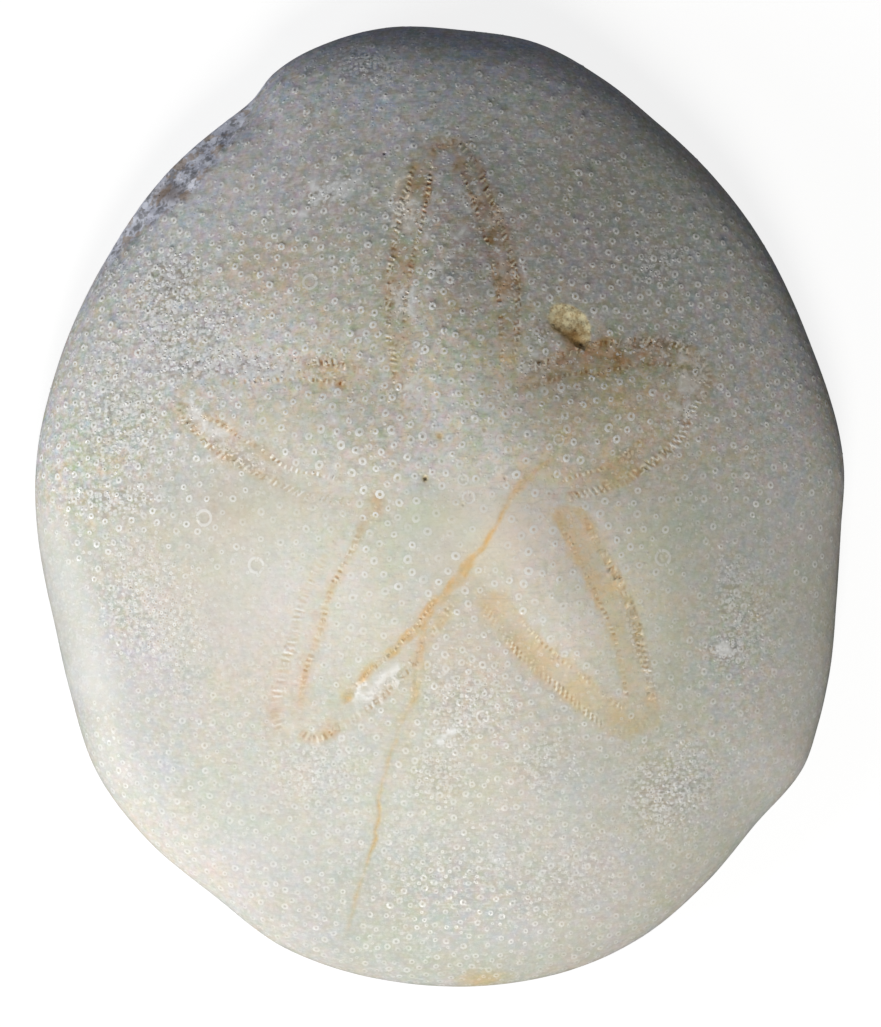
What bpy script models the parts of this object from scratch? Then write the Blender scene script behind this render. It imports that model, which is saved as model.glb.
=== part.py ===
"""Sand dollar: the whole test of a broad, low-domed sea biscuit.

The test grew as one piece, so it is one solid.  It lies on its flat oral
side.  +Y points to the front (the unpaired petal), +Z is up, and the origin
is on the resting plane under the middle of the outline.

The upper side is a low rounded cone that falls from the apical system to a
thick rounded rim, with five slightly swollen petals.  A pit holds a little
sediment beside the front right petal, and the rim is chipped at the front
left.  The oral side is a flat ring around a shallow funnel that leads to the
five-sided mouth, with five food grooves and the small vent near the back.
"""
import math

import bmesh
import bpy
from mathutils import Matrix, Vector

# ---------------------------------------------------------------- dimensions
MM = 0.001

HEIGHT = 22.0          # resting plane to the apical system
AMBITUS_Z = 4.5        # height of the widest line of the rim
RIM_RISE = 4.0         # rounded shoulder above that line
RIM_EXPONENT = 14.0    # how late the shoulder turns over
DOME_SOFTNESS = 0.35   # 0 is a sharp cone
SHOULDER_IN = 0.86     # where the underside meets the resting plane

APEX = (2.5, 4.6)      # apical system, from the middle of the outline

# Rim, as (bearing in degrees from +X, distance in mm) from the apical system.
RIM = (
    (0, 41.0),         # right side
    (20, 39.6),
    (40, 40.4),
    (60, 42.3),        # front right
    (70, 44.2),
    (80, 46.1),
    (90, 46.8),        # front
    (100, 47.8),
    (110, 47.6),
    (116, 46.8),       # lip of the chipped corner
    (120, 45.4),
    (124, 45.0),
    (135, 44.8),
    (150, 44.4),       # front left
    (165, 44.9),
    (180, 46.0),       # left side
    (200, 47.1),
    (210, 48.9),
    (220, 51.5),       # back left
    (230, 52.8),
    (240, 53.6),
    (250, 55.5),
    (265, 56.2),       # back
    (280, 55.8),
    (290, 54.5),
    (300, 52.1),
    (309, 49.9),       # back right corner
    (318, 49.1),
    (324, 47.3),
    (330, 45.5),
    (340, 42.8),
    (350, 41.3),
)

# Petals: bearing of the axis, distance of the tip, greatest half width.
PETALS = (
    (92.3, 34.2, 6.6),
    (22.1, 27.7, 7.0),
    (168.6, 32.7, 6.6),
    (238.9, 33.9, 6.8),
    (305.7, 33.5, 6.4),
)
PETAL_SWELL = 0.5      # height of a petal over the slope around it

PIT_AT = (13.8, 19.2)  # middle of the pit, from the middle of the outline
PIT_SIZE = (2.6, 2.0)  # its half length and half width
PIT_DEPTH = 1.3
PIT_BEARING = -38.0    # direction of its long axis

CHIP_FROM, CHIP_TO = 119.0, 152.0   # bearings of the broken rim
CHIP_DEPTH = 1.1

FUNNEL_RADIUS = 19.0   # shallow hollow around the mouth
FUNNEL_DEPTH = 2.4
MOUTH_RADIUS = 4.0
MOUTH_DEPTH = 1.5
GROOVE_WIDTH = 1.5
GROOVE_DEPTH = 0.35
GROOVE_REACH = 36.0
VENT_RADIUS = 1.6
VENT_DEPTH = 1.3
VENT_FROM_APEX = 45.5  # straight back

SEGMENTS = 112         # around the rim
RINGS = 40             # from the apical system round the rim to the mouth
RINGS_ABOVE = 22       # of them above the widest line


# ------------------------------------------------------------------- outline
def rim_radius(bearing):
    """Distance of the rim, in mm, as a smooth closed curve through RIM."""
    bearing %= 360.0
    n = len(RIM)
    k = max(i for i in range(n) if RIM[i][0] <= bearing)

    def station(i):
        turns, j = divmod(i, n)
        return RIM[j][0] + 360.0 * turns, RIM[j][1]

    a0, r0 = station(k - 1)
    a1, r1 = station(k)
    a2, r2 = station(k + 1)
    a3, r3 = station(k + 2)
    span = a2 - a1
    t = (bearing - a1) / span
    m1 = (r2 - r0) / (a2 - a0) * span
    m2 = (r3 - r1) / (a3 - a1) * span
    return ((2 * t**3 - 3 * t**2 + 1) * r1 + (t**3 - 2 * t**2 + t) * m1
            + (3 * t**2 - 2 * t**3) * r2 + (t**3 - t**2) * m2)


def smooth(low, high, value):
    """0 below low, 1 above high, smooth between."""
    t = min(max((value - low) / (high - low), 0.0), 1.0)
    return t * t * (3.0 - 2.0 * t)


# -------------------------------------------------------------------- relief
def petal_swell(x, y):
    """Height that the petals add at a point given from the apical system."""
    total = 0.0
    for bearing, reach, half in PETALS:
        a = math.radians(bearing)
        along = (x * math.cos(a) + y * math.sin(a)) / reach
        across = abs(y * math.cos(a) - x * math.sin(a)) / half
        if 0.1 < along < 1.0 and across < 1.0:
            rise = math.sin(math.pi * (along - 0.1) / 0.9) ** 0.8
            total += PETAL_SWELL * rise * (1.0 - across * across) ** 2
    return total


def upper_height(rho, bearing):
    """Height of the upper side at rho, the fraction of the way to the rim."""
    c = DOME_SOFTNESS
    fall = (math.hypot(rho, c) - c) / (math.hypot(1.0, c) - c)
    shoulder = RIM_RISE * math.sqrt(max(0.0, 1.0 - rho ** RIM_EXPONENT))
    z = AMBITUS_Z + shoulder + (HEIGHT - AMBITUS_Z - RIM_RISE) * (1.0 - fall)
    r = rho * rim_radius(bearing)
    a = math.radians(bearing)
    z += petal_swell(r * math.cos(a), r * math.sin(a))
    broken = smooth(CHIP_FROM, CHIP_FROM + 5, bearing) \
        * (1.0 - smooth(CHIP_TO - 8, CHIP_TO, bearing))
    z -= CHIP_DEPTH * broken * smooth(0.92, 0.96, rho) \
        * (1.0 - smooth(0.985, 1.0, rho))
    return z


def lower_height(rho, bearing):
    """Height of the oral side at rho."""
    r = rho * rim_radius(bearing)
    u = max(0.0, (rho - SHOULDER_IN) / (1.0 - SHOULDER_IN))
    z = AMBITUS_Z * (1.0 - math.sqrt(max(0.0, 1.0 - u * u)))
    z += FUNNEL_DEPTH * (1.0 - smooth(0.0, FUNNEL_RADIUS, r))
    groove = 0.0
    for petal_bearing, _, _ in PETALS:
        turn = math.radians((bearing - petal_bearing + 180) % 360 - 180)
        if abs(turn) < math.pi / 2:
            side = abs(r * math.sin(turn)) / GROOVE_WIDTH
            if side < 1.0:
                groove = max(groove, (1.0 - side * side) ** 2)
    z += GROOVE_DEPTH * groove * (1.0 - smooth(0.6 * GROOVE_REACH,
                                               GROOVE_REACH, r))
    return z


# ---------------------------------------------------------------------- test
def clear_scene():
    for obj in list(bpy.data.objects):
        bpy.data.objects.remove(obj, do_unlink=True)


def new_collection(name):
    coll = bpy.data.collections.new(name)
    bpy.context.scene.collection.children.link(coll)
    return coll


def calcite():
    mat = bpy.data.materials.new("weathered_calcite")
    mat.use_nodes = True
    bsdf = mat.node_tree.nodes["Principled BSDF"]
    bsdf.inputs["Base Color"].default_value = (0.63, 0.61, 0.53, 1.0)
    bsdf.inputs["Roughness"].default_value = 0.5
    bsdf.inputs["Metallic"].default_value = 0.0
    mat.diffuse_color = (0.63, 0.61, 0.53, 1.0)
    return mat


def as_object(bm, name, coll):
    mesh = bpy.data.meshes.new(name)
    bm.to_mesh(mesh)
    bm.free()
    obj = bpy.data.objects.new(name, mesh)
    coll.objects.link(obj)
    return obj


def make_test(coll, mat):
    """The test, drawn out of a ball: every ring of the ball becomes a ring
    at one fraction of the way to the rim, above or below the widest line."""
    bm = bmesh.new()
    bmesh.ops.create_uvsphere(bm, u_segments=SEGMENTS, v_segments=RINGS,
                              radius=1.0)
    for v in bm.verts:
        down = math.acos(max(-1.0, min(1.0, v.co.z))) / math.pi * RINGS
        down = round(down)
        bearing = math.degrees(math.atan2(v.co.y, v.co.x)) % 360.0
        if down <= RINGS_ABOVE:
            rho = math.sin(math.pi / 2 * down / RINGS_ABOVE)
            z = upper_height(rho, bearing)
        else:
            rho = math.sin(math.pi / 2 * (RINGS - down)
                           / (RINGS - RINGS_ABOVE))
            z = lower_height(rho, bearing)
        r = rho * rim_radius(bearing)
        a = math.radians(bearing)
        v.co = Vector((r * math.cos(a), r * math.sin(a), z)) * MM
    # the origin goes under the middle of the outline
    xs = [v.co.x for v in bm.verts]
    ys = [v.co.y for v in bm.verts]
    middle = Vector(((min(xs) + max(xs)) / 2, (min(ys) + max(ys)) / 2, 0.0))
    bmesh.ops.translate(bm, verts=bm.verts, vec=-middle)
    bmesh.ops.triangulate(bm, faces=bm.faces)
    bmesh.ops.recalc_face_normals(bm, faces=bm.faces)
    test = as_object(bm, "test", coll)
    test.data.materials.append(mat)
    return test


def make_pit(coll):
    """A flattened ball sunk in the slope beside the front right petal."""
    x, y = PIT_AT[0] - APEX[0], PIT_AT[1] - APEX[1]
    bearing = math.degrees(math.atan2(y, x)) % 360.0
    rho = math.hypot(x, y) / rim_radius(bearing)
    z = upper_height(rho, bearing)
    step = 0.02
    slope = (upper_height(rho + step, bearing)
             - upper_height(rho - step, bearing)) \
        / (2 * step * rim_radius(bearing))
    a = math.radians(bearing)
    outward = Vector((-slope * math.cos(a), -slope * math.sin(a), 1.0))
    outward.normalize()
    bm = bmesh.new()
    bmesh.ops.create_uvsphere(bm, u_segments=20, v_segments=10, radius=1.0)
    bmesh.ops.scale(bm, verts=bm.verts,
                    vec=(PIT_SIZE[0] * MM, PIT_SIZE[1] * MM, PIT_DEPTH * MM))
    bmesh.ops.rotate(bm, verts=bm.verts, cent=(0, 0, 0),
                     matrix=Matrix.Rotation(math.radians(PIT_BEARING), 3, 'Z'))
    pit = as_object(bm, "pit_cutter", coll)
    pit.location = (PIT_AT[0] * MM, PIT_AT[1] * MM, z * MM)
    pit.rotation_mode = 'QUATERNION'
    pit.rotation_quaternion = Vector((0, 0, 1)).rotation_difference(outward)
    return pit


def make_socket(name, coll, x, y, radius, bottom, top, sides, lobes):
    """A blunt tapered plug that leaves a socket in the oral side."""
    bm = bmesh.new()
    bmesh.ops.create_cone(bm, cap_ends=True, segments=sides,
                          radius1=radius * 1.15 * MM, radius2=radius * 0.8 * MM,
                          depth=(top - bottom) * MM)
    for v in bm.verts:
        turn = math.atan2(v.co.y, v.co.x)
        bulge = 1.0 + lobes * math.cos(5 * (turn - math.pi / 2))
        v.co.x *= bulge
        v.co.y *= bulge
    obj = as_object(bm, name, coll)
    obj.location = (x * MM, y * MM, (top + bottom) / 2 * MM)
    return obj


def main():
    clear_scene()
    parts = new_collection("sand_dollar")
    cutters = new_collection("sand_dollar_cutters")
    test = make_test(parts, calcite())

    mouth_roof = FUNNEL_DEPTH + MOUTH_DEPTH
    hollows = [
        make_pit(cutters),
        make_socket("mouth_cutter", cutters, APEX[0], APEX[1], MOUTH_RADIUS,
                    -2.0, mouth_roof, 30, 0.07),
        make_socket("vent_cutter", cutters, APEX[0], APEX[1] - VENT_FROM_APEX,
                    VENT_RADIUS, -1.0, VENT_DEPTH, 16, 0.0),
    ]
    for hollow in hollows:
        hollow.display_type = 'WIRE'
        hollow.hide_render = True
        cut = test.modifiers.new(hollow.name, 'BOOLEAN')
        cut.operation = 'DIFFERENCE'
        cut.solver = 'EXACT'
        cut.object = hollow
    test.data.shade_smooth()
    test.data.set_sharp_from_angle(angle=math.radians(40.0))


main()
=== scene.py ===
"""The looks of the sand dollar: one skin over the whole test, a pale floor,
a low soft key light from the lower left and a camera straight above."""
import math

import bpy
import numpy as np
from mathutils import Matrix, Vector
from mathutils.geometry import delaunay_2d_cdt
from mathutils.kdtree import KDTree


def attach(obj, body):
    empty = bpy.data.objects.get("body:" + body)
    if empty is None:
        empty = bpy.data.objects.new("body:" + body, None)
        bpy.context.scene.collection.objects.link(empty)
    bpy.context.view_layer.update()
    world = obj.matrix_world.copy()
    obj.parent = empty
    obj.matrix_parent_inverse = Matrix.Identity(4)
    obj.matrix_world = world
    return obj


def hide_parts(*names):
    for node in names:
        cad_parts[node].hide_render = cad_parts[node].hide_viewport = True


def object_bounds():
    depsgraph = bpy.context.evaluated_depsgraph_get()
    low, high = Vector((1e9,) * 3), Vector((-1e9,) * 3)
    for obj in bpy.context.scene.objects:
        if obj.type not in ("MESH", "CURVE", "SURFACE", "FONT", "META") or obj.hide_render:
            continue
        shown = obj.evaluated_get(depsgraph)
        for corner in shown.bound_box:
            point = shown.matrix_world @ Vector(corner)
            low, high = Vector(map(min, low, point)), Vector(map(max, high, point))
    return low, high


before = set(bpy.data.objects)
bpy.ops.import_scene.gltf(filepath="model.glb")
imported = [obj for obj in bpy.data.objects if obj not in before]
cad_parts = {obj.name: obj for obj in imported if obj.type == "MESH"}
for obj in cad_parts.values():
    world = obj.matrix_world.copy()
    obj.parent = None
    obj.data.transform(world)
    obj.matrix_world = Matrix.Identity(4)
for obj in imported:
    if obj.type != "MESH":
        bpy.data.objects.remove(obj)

cad_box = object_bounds()
MM = 0.001

# ============================================================ shape (in mm)
# The same dimensions as the solid. x and y are from the apical system.
HEIGHT, AMBITUS_Z, RIM_RISE = 22.0, 4.5, 4.0
RIM_EXPONENT, DOME_SOFTNESS, SHOULDER_IN = 14.0, 0.35, 0.86
APEX = np.array((2.5, 4.6))
RIM = np.array((
    (0, 41.0), (20, 39.6), (40, 40.4), (60, 42.3), (70, 44.2), (80, 46.1),
    (90, 46.8), (100, 47.8), (110, 47.6), (116, 46.8), (120, 45.4),
    (124, 45.0), (135, 44.8), (150, 44.4), (165, 44.9), (180, 46.0),
    (200, 47.1), (210, 48.9), (220, 51.5), (230, 52.8), (240, 53.6),
    (250, 55.5), (265, 56.2), (280, 55.8), (290, 54.5), (300, 52.1),
    (309, 49.9), (318, 49.1), (324, 47.3), (330, 45.5), (340, 42.8),
    (350, 41.3)))
PETALS = ((92.3, 34.2, 6.6), (22.1, 27.7, 7.0), (168.6, 32.7, 6.6),
          (238.9, 33.9, 6.8), (305.7, 33.5, 6.4))
PETAL_SWELL = 0.5
CHIP_FROM, CHIP_TO, CHIP_DEPTH = 119.0, 152.0, 1.1
FUNNEL_RADIUS, FUNNEL_DEPTH = 19.0, 2.4
MOUTH_RADIUS, MOUTH_DEPTH = 4.0, 1.5
GROOVE_WIDTH, GROOVE_DEPTH, GROOVE_REACH = 1.5, 0.35, 36.0
VENT = np.array((0.0, -45.5))
VENT_RADIUS, VENT_DEPTH = 1.6, 1.3
INSET = 0.09           # the skin's base lies this far inside the solid


def smooth(low, high, value):
    t = np.clip((np.asarray(value, float) - low) / (high - low), 0.0, 1.0)
    return t * t * (3.0 - 2.0 * t)


def bump(value):
    """1 at 0, falls smoothly to 0 at 1."""
    v = np.clip(np.abs(value), 0.0, 1.0)
    return (1.0 - v * v) ** 2


# closed curve through RIM, read from a fine table
_a = np.concatenate((RIM[-3:, 0] - 360, RIM[:, 0], RIM[:3, 0] + 360))
_r = np.concatenate((RIM[-3:, 1], RIM[:, 1], RIM[:3, 1]))
_fine = np.arange(0.0, 360.0, 0.25)
_k = np.searchsorted(_a, _fine, side='right') - 1
_span = _a[_k + 1] - _a[_k]
_t = (_fine - _a[_k]) / _span
_m1 = (_r[_k + 1] - _r[_k - 1]) / (_a[_k + 1] - _a[_k - 1]) * _span
_m2 = (_r[_k + 2] - _r[_k]) / (_a[_k + 2] - _a[_k]) * _span
_rim_table = ((2 * _t**3 - 3 * _t**2 + 1) * _r[_k]
              + (_t**3 - 2 * _t**2 + _t) * _m1
              + (3 * _t**2 - 2 * _t**3) * _r[_k + 1] + (_t**3 - _t**2) * _m2)
_rim_table = np.append(_rim_table, _rim_table[0])
_fine = np.append(_fine, 360.0)


def rim_radius(bearing):
    return np.interp(np.mod(bearing, 360.0), _fine, _rim_table)


# the dome inside the rim follows a smoother outline
_w = np.exp(-0.5 * (np.arange(-160, 161) * 0.25 / 13.0) ** 2)
_soft_table = np.convolve(np.concatenate((_rim_table[-161:-1], _rim_table[:-1],
                                          _rim_table[:160])), _w / _w.sum(), 'valid')
_soft_table = np.append(_soft_table, _soft_table[0])


def inner_rho(rho, bearing):
    """Share of the way to the rim, as the shape of the dome feels it."""
    rim = rim_radius(bearing)
    soft = np.interp(np.mod(bearing, 360.0), _fine, _soft_table)
    edge = smooth(0.70, 1.0, rho)
    return np.minimum(1.0, rho * rim / (rim * edge + soft * (1.0 - edge)))


def petal_swell(x, y):
    total = np.zeros_like(x)
    for bearing, reach, half in PETALS:
        a = math.radians(bearing)
        along = (x * math.cos(a) + y * math.sin(a)) / reach
        across = np.abs(y * math.cos(a) - x * math.sin(a)) / half
        inside = (along > 0.1) & (along < 1.0) & (across < 1.0)
        rise = np.sin(math.pi * np.clip((along - 0.1) / 0.9, 0, 1)) ** 0.8
        total += np.where(inside,
                          PETAL_SWELL * rise * (1 - np.minimum(across, 1) ** 2) ** 2,
                          0.0)
    return total


def upper_height(rho, bearing):
    c = DOME_SOFTNESS
    inner = inner_rho(rho, bearing)
    fall = (np.hypot(inner, c) - c) / (math.hypot(1.0, c) - c)
    shoulder = RIM_RISE * np.sqrt(np.maximum(0.0, 1.0 - inner ** RIM_EXPONENT))
    z = AMBITUS_Z + shoulder + (HEIGHT - AMBITUS_Z - RIM_RISE) * (1.0 - fall)
    r = rho * rim_radius(bearing)
    a = np.radians(bearing)
    z = z + petal_swell(r * np.cos(a), r * np.sin(a))
    b = np.mod(bearing, 360.0)
    broken = smooth(CHIP_FROM, CHIP_FROM + 5, b) \
        * (1.0 - smooth(CHIP_TO - 8, CHIP_TO, b))
    return z - 0.55 * CHIP_DEPTH * broken * smooth(0.935, 0.975, rho) \
        * (1.0 - smooth(0.985, 1.0, rho))


def lower_height(rho, bearing):
    r = rho * rim_radius(bearing)
    u = np.maximum(0.0, (rho - SHOULDER_IN) / (1.0 - SHOULDER_IN))
    z = AMBITUS_Z * (1.0 - np.sqrt(np.maximum(0.0, 1.0 - u * u)))
    z = z + FUNNEL_DEPTH * (1.0 - smooth(0.0, FUNNEL_RADIUS, r))
    groove = np.zeros_like(z)
    for petal_bearing, _, _ in PETALS:
        turn = np.radians(np.mod(bearing - petal_bearing + 180, 360) - 180)
        side = np.abs(r * np.sin(turn)) / GROOVE_WIDTH
        groove = np.maximum(groove, np.where(np.abs(turn) < math.pi / 2,
                                             bump(side), 0.0))
    return z + GROOVE_DEPTH * groove * (1.0 - smooth(0.6 * GROOVE_REACH,
                                                     GROOVE_REACH, r))


class Side:
    """One side of the test as a flat round chart. A point of the chart is at
    the arc length from the middle, so marks keep their size round the rim."""

    def __init__(self, height):
        self.height = height
        phi = np.linspace(0.0, math.pi / 2, 1500)
        rho = np.sin(phi)
        z = height(rho, np.full_like(rho, 200.0))
        step = np.hypot(np.diff(rho) * 47.5, np.diff(z))
        arc = np.concatenate(([0.0], np.cumsum(step)))
        self.size = arc[-1]
        self.arc, self.rho_at = arc, rho

    def base(self, p):
        """Chart point to place on the test, in mm from the apical system."""
        r = np.hypot(p[:, 0], p[:, 1])
        bearing = np.degrees(np.arctan2(p[:, 1], p[:, 0]))
        rho = np.interp(r, self.arc, self.rho_at)
        a = np.radians(bearing)
        reach = rho * rim_radius(bearing)
        return np.stack((reach * np.cos(a), reach * np.sin(a),
                         self.height(rho, bearing)), axis=1)

    def chart(self, xy):
        """Place in plan, from the apical system, to chart point."""
        xy = np.asarray(xy, float).reshape(-1, 2)
        bearing = np.degrees(np.arctan2(xy[:, 1], xy[:, 0]))
        rho = np.hypot(xy[:, 0], xy[:, 1]) / rim_radius(bearing)
        r = np.interp(np.minimum(rho, 1.0), self.rho_at, self.arc)
        a = np.radians(bearing)
        return np.stack((r * np.cos(a), r * np.sin(a)), axis=1)

    def slopes(self, p, h=0.04):
        dx = (self.base(p + (h, 0)) - self.base(p - (h, 0))) / (2 * h)
        dy = (self.base(p + (0, h)) - self.base(p - (0, h))) / (2 * h)
        return dx, dy

    def normal(self, p):
        dx, dy = self.slopes(p)
        n = np.cross(dx, dy)
        return n / np.maximum(np.linalg.norm(n, axis=1), 1e-12)[:, None]

    def around(self, centres, offsets):
        """Chart points that lie at the given true offsets (m, k, 2), in mm,
        on the surface around each centre."""
        dx, dy = self.slopes(centres)
        n = np.cross(dx, dy)
        n /= np.maximum(np.linalg.norm(n, axis=1), 1e-12)[:, None]
        e1 = np.cross(np.tile((0.0, 1.0, 0.0), (len(n), 1)), n)
        e1 /= np.linalg.norm(e1, axis=1)[:, None]
        e2 = np.cross(n, e1)
        m = np.empty((len(n), 2, 2))
        m[:, 0, 0], m[:, 0, 1] = (e1 * dx).sum(1), (e1 * dy).sum(1)
        m[:, 1, 0], m[:, 1, 1] = (e2 * dx).sum(1), (e2 * dy).sum(1)
        inv = np.linalg.inv(m)
        return centres[:, None, :] + np.einsum('mij,mkj->mki', inv, offsets)


UP, DOWN = Side(upper_height), Side(lower_height)


# The features are placed as they look from the camera, 600 mm straight above
# the ambitus. What lies higher up looks a little further from the middle.
EYE, EYE_HEIGHT = np.array((0.05, -0.65)), 600.0


def seen(xyz):
    """Where a place on the test, from the apical system, looks to be, in mm
    from the middle of the outline."""
    xy = xyz[:, :2] + APEX
    return EYE + (xy - EYE) * (EYE_HEIGHT / (EYE_HEIGHT + AMBITUS_Z
                                             - xyz[:, 2]))[:, None]


def in_plan(xy):
    """Chart point of the place above that looks to be at xy."""
    xy = np.asarray(xy, float).reshape(-1, 2)
    chart = UP.chart(xy - APEX)
    for _ in range(3):
        z = UP.base(chart)[:, 2]
        real = EYE + (xy - EYE) * ((EYE_HEIGHT + AMBITUS_Z - z)
                                   / EYE_HEIGHT)[:, None]
        chart = UP.chart(real - APEX)
    return chart


# ------------------------------------------------------------- smooth noise
def _hash(ix, iy, iz, seed):
    h = (ix * 73856093) ^ (iy * 19349663) ^ (iz * 83492791) ^ (seed * 2654435761)
    h &= 0xffffffff
    h = ((h ^ (h >> 15)) * 2246822519) & 0xffffffff
    h = ((h ^ (h >> 13)) * 3266489917) & 0xffffffff
    return ((h ^ (h >> 16)) & 0xffffff) / float(0xffffff)


def noise(p, size, seed=0, octaves=1):
    """Value noise from -1 to 1 with lumps of the given size in mm."""
    total, weight, norm = 0.0, 1.0, 0.0
    for octave in range(octaves):
        q = np.asarray(p, float) / size * (2.03 ** octave) + 31.7
        i = np.floor(q).astype(np.int64)
        f = q - i
        f = f * f * (3 - 2 * f)
        value = 0.0
        for cx in (0, 1):
            for cy in (0, 1):
                for cz in (0, 1):
                    w = (f[:, 0] if cx else 1 - f[:, 0]) \
                        * (f[:, 1] if cy else 1 - f[:, 1]) \
                        * (f[:, 2] if cz else 1 - f[:, 2])
                    value = value + w * _hash(i[:, 0] + cx, i[:, 1] + cy,
                                              i[:, 2] + cz, seed + octave * 17)
        total = total + weight * (2 * value - 1)
        norm += weight
        weight *= 0.5
    return total / norm


# ================================================== features of the upper side
# All in mm from the middle of the outline, +Y to the front.
# Each petal side is a band between an outer row of slit pores, with pale
# cross ribs between them, and an inner row of round pores.
# name: outer row, inner row, ochre and brown along the band, how far the ribs
# lean to the apex, where the stain lies between the outer (0) and the inner
# (1) row and how wide it is
BANDS = (
    ("front_left",
     ((-2.7, 36.8), (-3.4, 34.7), (-4.2, 32.6), (-4.6, 30.1), (-5.1, 27.2),
      (-5.5, 24.5), (-5.6, 21.6), (-5.5, 18.5), (-5.1, 16.4), (-4.7, 13.7)),
     ((-0.9, 36.8), (-1.2, 34.6), (-1.7, 31.6), (-2.5, 28.6), (-3.1, 26.0),
      (-3.6, 23.4), (-3.8, 20.0), (-3.4, 17.5), (-3.1, 15.3)),
     (0.65, 0.3, 0.5, 0.35, 0.65), (0.75, 0.3, 0.85, 0.15, 0.1), 0.45,
     0.25, 0.8),
    ("front_right",
     ((3.2, 37.9), (4.1, 36.5), (5.1, 34.0), (6.2, 31.4), (7.1, 28.8),
      (7.8, 26.2), (8.3, 23.9), (8.4, 21.2), (8.2, 18.2), (7.7, 14.8)),
     ((2.4, 35.7), (3.5, 33.4), (4.5, 30.2), (5.5, 27.3), (6.1, 24.5),
      (6.5, 21.8), (6.7, 18.2), (6.6, 14.2)),
     (0.5, 0.4, 0.3, 0.25, 0.6), (0.6, 0.85, 1.0, 0.65, 0.1), 0.5,
     0.5, 1.0),
    ("right_upper",
     ((27.1, 16.7), (24.9, 17.5), (22.2, 17.9), (19.5, 17.8), (16.6, 17.4),
      (14.0, 16.7), (11.6, 15.7), (9.7, 14.8)),
     ((26.9, 15.0), (24.5, 15.4), (22.0, 15.5), (19.4, 15.0), (17.0, 14.7),
      (14.5, 14.4), (11.8, 13.7), (9.1, 13.0)),
     (0.5, 0.35, 0.6, 0.75, 0.3), (0.3, 1.1, 1.1, 1.2, 0.45), 0.4,
     0.6, 0.9),
    ("right_lower",
     ((28.2, 11.8), (27.1, 10.5), (26.3, 8.4), (24.9, 6.5), (23.3, 5.2),
      (21.2, 3.7), (19.0, 2.5), (16.5, 1.7), (14.0, 1.2)),
     ((25.6, 12.4), (24.5, 10.7), (23.0, 8.7), (21.3, 6.9), (19.5, 5.4),
      (17.5, 4.2), (15.2, 3.5), (13.1, 3.0)),
     (0.15, 0.4, 1.0, 0.85, 0.35), (0.05, 0.0, 0.1, 0.2, 0.2), 0.5,
     0.45, 1.0),
    ("left_upper",
     ((-26.2, 14.4), (-23.8, 14.8), (-20.6, 15.1), (-17.0, 15.4),
      (-13.8, 15.5), (-11.1, 15.4), (-8.8, 14.9), (-7.0, 14.1)),
     ((-26.0, 12.6), (-22.9, 13.3), (-19.8, 13.6), (-16.4, 13.8),
      (-13.1, 13.7), (-10.8, 13.4), (-8.8, 12.6)),
     (0.0, 0.0, 0.05, 0.35, 0.4), (0.15, 0.05, 0.08, 0.5, 0.3), 0.3,
     0.5, 0.9),
    ("left_lower",
     ((-28.2, 10.3), (-26.6, 8.5), (-24.8, 6.6), (-22.3, 5.1), (-19.6, 3.6),
      (-16.9, 2.3), (-14.5, 1.3), (-11.9, 0.8), (-9.7, 0.6)),
     ((-25.3, 9.9), (-23.4, 8.9), (-21.5, 7.5), (-19.3, 6.2), (-17.2, 4.8),
      (-15.0, 3.9), (-12.9, 3.5), (-10.8, 3.0)),
     (0.5, 0.45, 0.35, 0.15, 0.05), (0.3, 0.4, 0.35, 0.2, 0.1), 0.5,
     0.3, 0.9),
    ("back_right_left",
     ((4.7, -10.3), (5.6, -11.9), (6.8, -13.7), (8.4, -15.6), (10.2, -17.3),
      (11.9, -18.7), (13.8, -20.3), (15.6, -21.9), (17.4, -23.3)),
     ((6.8, -9.9), (8.0, -11.3), (9.5, -13.1), (11.2, -14.8), (12.9, -16.2),
      (14.6, -17.6), (16.4, -19.1), (18.1, -20.5), (19.6, -21.6)),
     (0.6, 0.8, 1.0, 1.0, 0.75), (0.05, 0.0, 0.0, 0.0, 0.0), 0.75,
     0.5, 1.05),
    ("back_right_right",
     ((15.0, -0.5), (15.9, -2.0), (17.1, -4.2), (18.2, -6.2), (19.4, -8.3),
      (20.4, -10.6), (21.2, -13.0), (21.8, -15.9), (22.4, -18.5),
      (22.8, -20.7)),
     ((12.6, -0.9), (13.6, -2.8), (14.9, -5.4), (16.2, -8.1), (17.6, -11.1),
      (18.8, -14.0), (19.5, -16.4), (19.9, -18.6), (20.1, -20.7)),
     (1.0, 0.95, 1.0, 0.85, 0.65), (0.2, 0.25, 0.15, 0.1, 0.0), 0.35,
     0.7, 0.8),
    ("back_left_left",
     ((-10.8, -3.0), (-12.2, -5.1), (-13.7, -7.6), (-14.7, -9.9),
      (-15.4, -12.2), (-16.1, -15.0), (-16.9, -17.6), (-17.4, -19.9),
      (-17.5, -22.0), (-17.2, -24.5)),
     ((-8.4, -2.4), (-9.9, -5.3), (-11.3, -7.9), (-12.2, -10.2),
      (-12.8, -12.9), (-13.8, -15.6), (-14.6, -18.2), (-15.0, -21.2)),
     (0.45, 0.5, 0.5, 0.5, 0.65), (0.2, 0.3, 0.35, 0.3, 0.4), 0.85,
     0.9, 0.4),
    ("back_left_right",
     ((1.6, -9.9), (0.0, -12.4), (-1.8, -14.8), (-3.5, -17.5), (-5.6, -19.7),
      (-8.0, -21.8), (-9.9, -23.2), (-11.8, -24.1)),
     ((-0.4, -9.7), (-2.0, -11.9), (-3.9, -14.3), (-5.7, -16.1),
      (-8.0, -18.0), (-10.2, -20.4)),
     (0.7, 0.6, 0.3, 0.15, 0.25), (0.1, 0.1, 0.3, 0.25, 0.2), 0.3,
     0.35, 0.6),
)
PORE_STEP = 0.60
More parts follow.
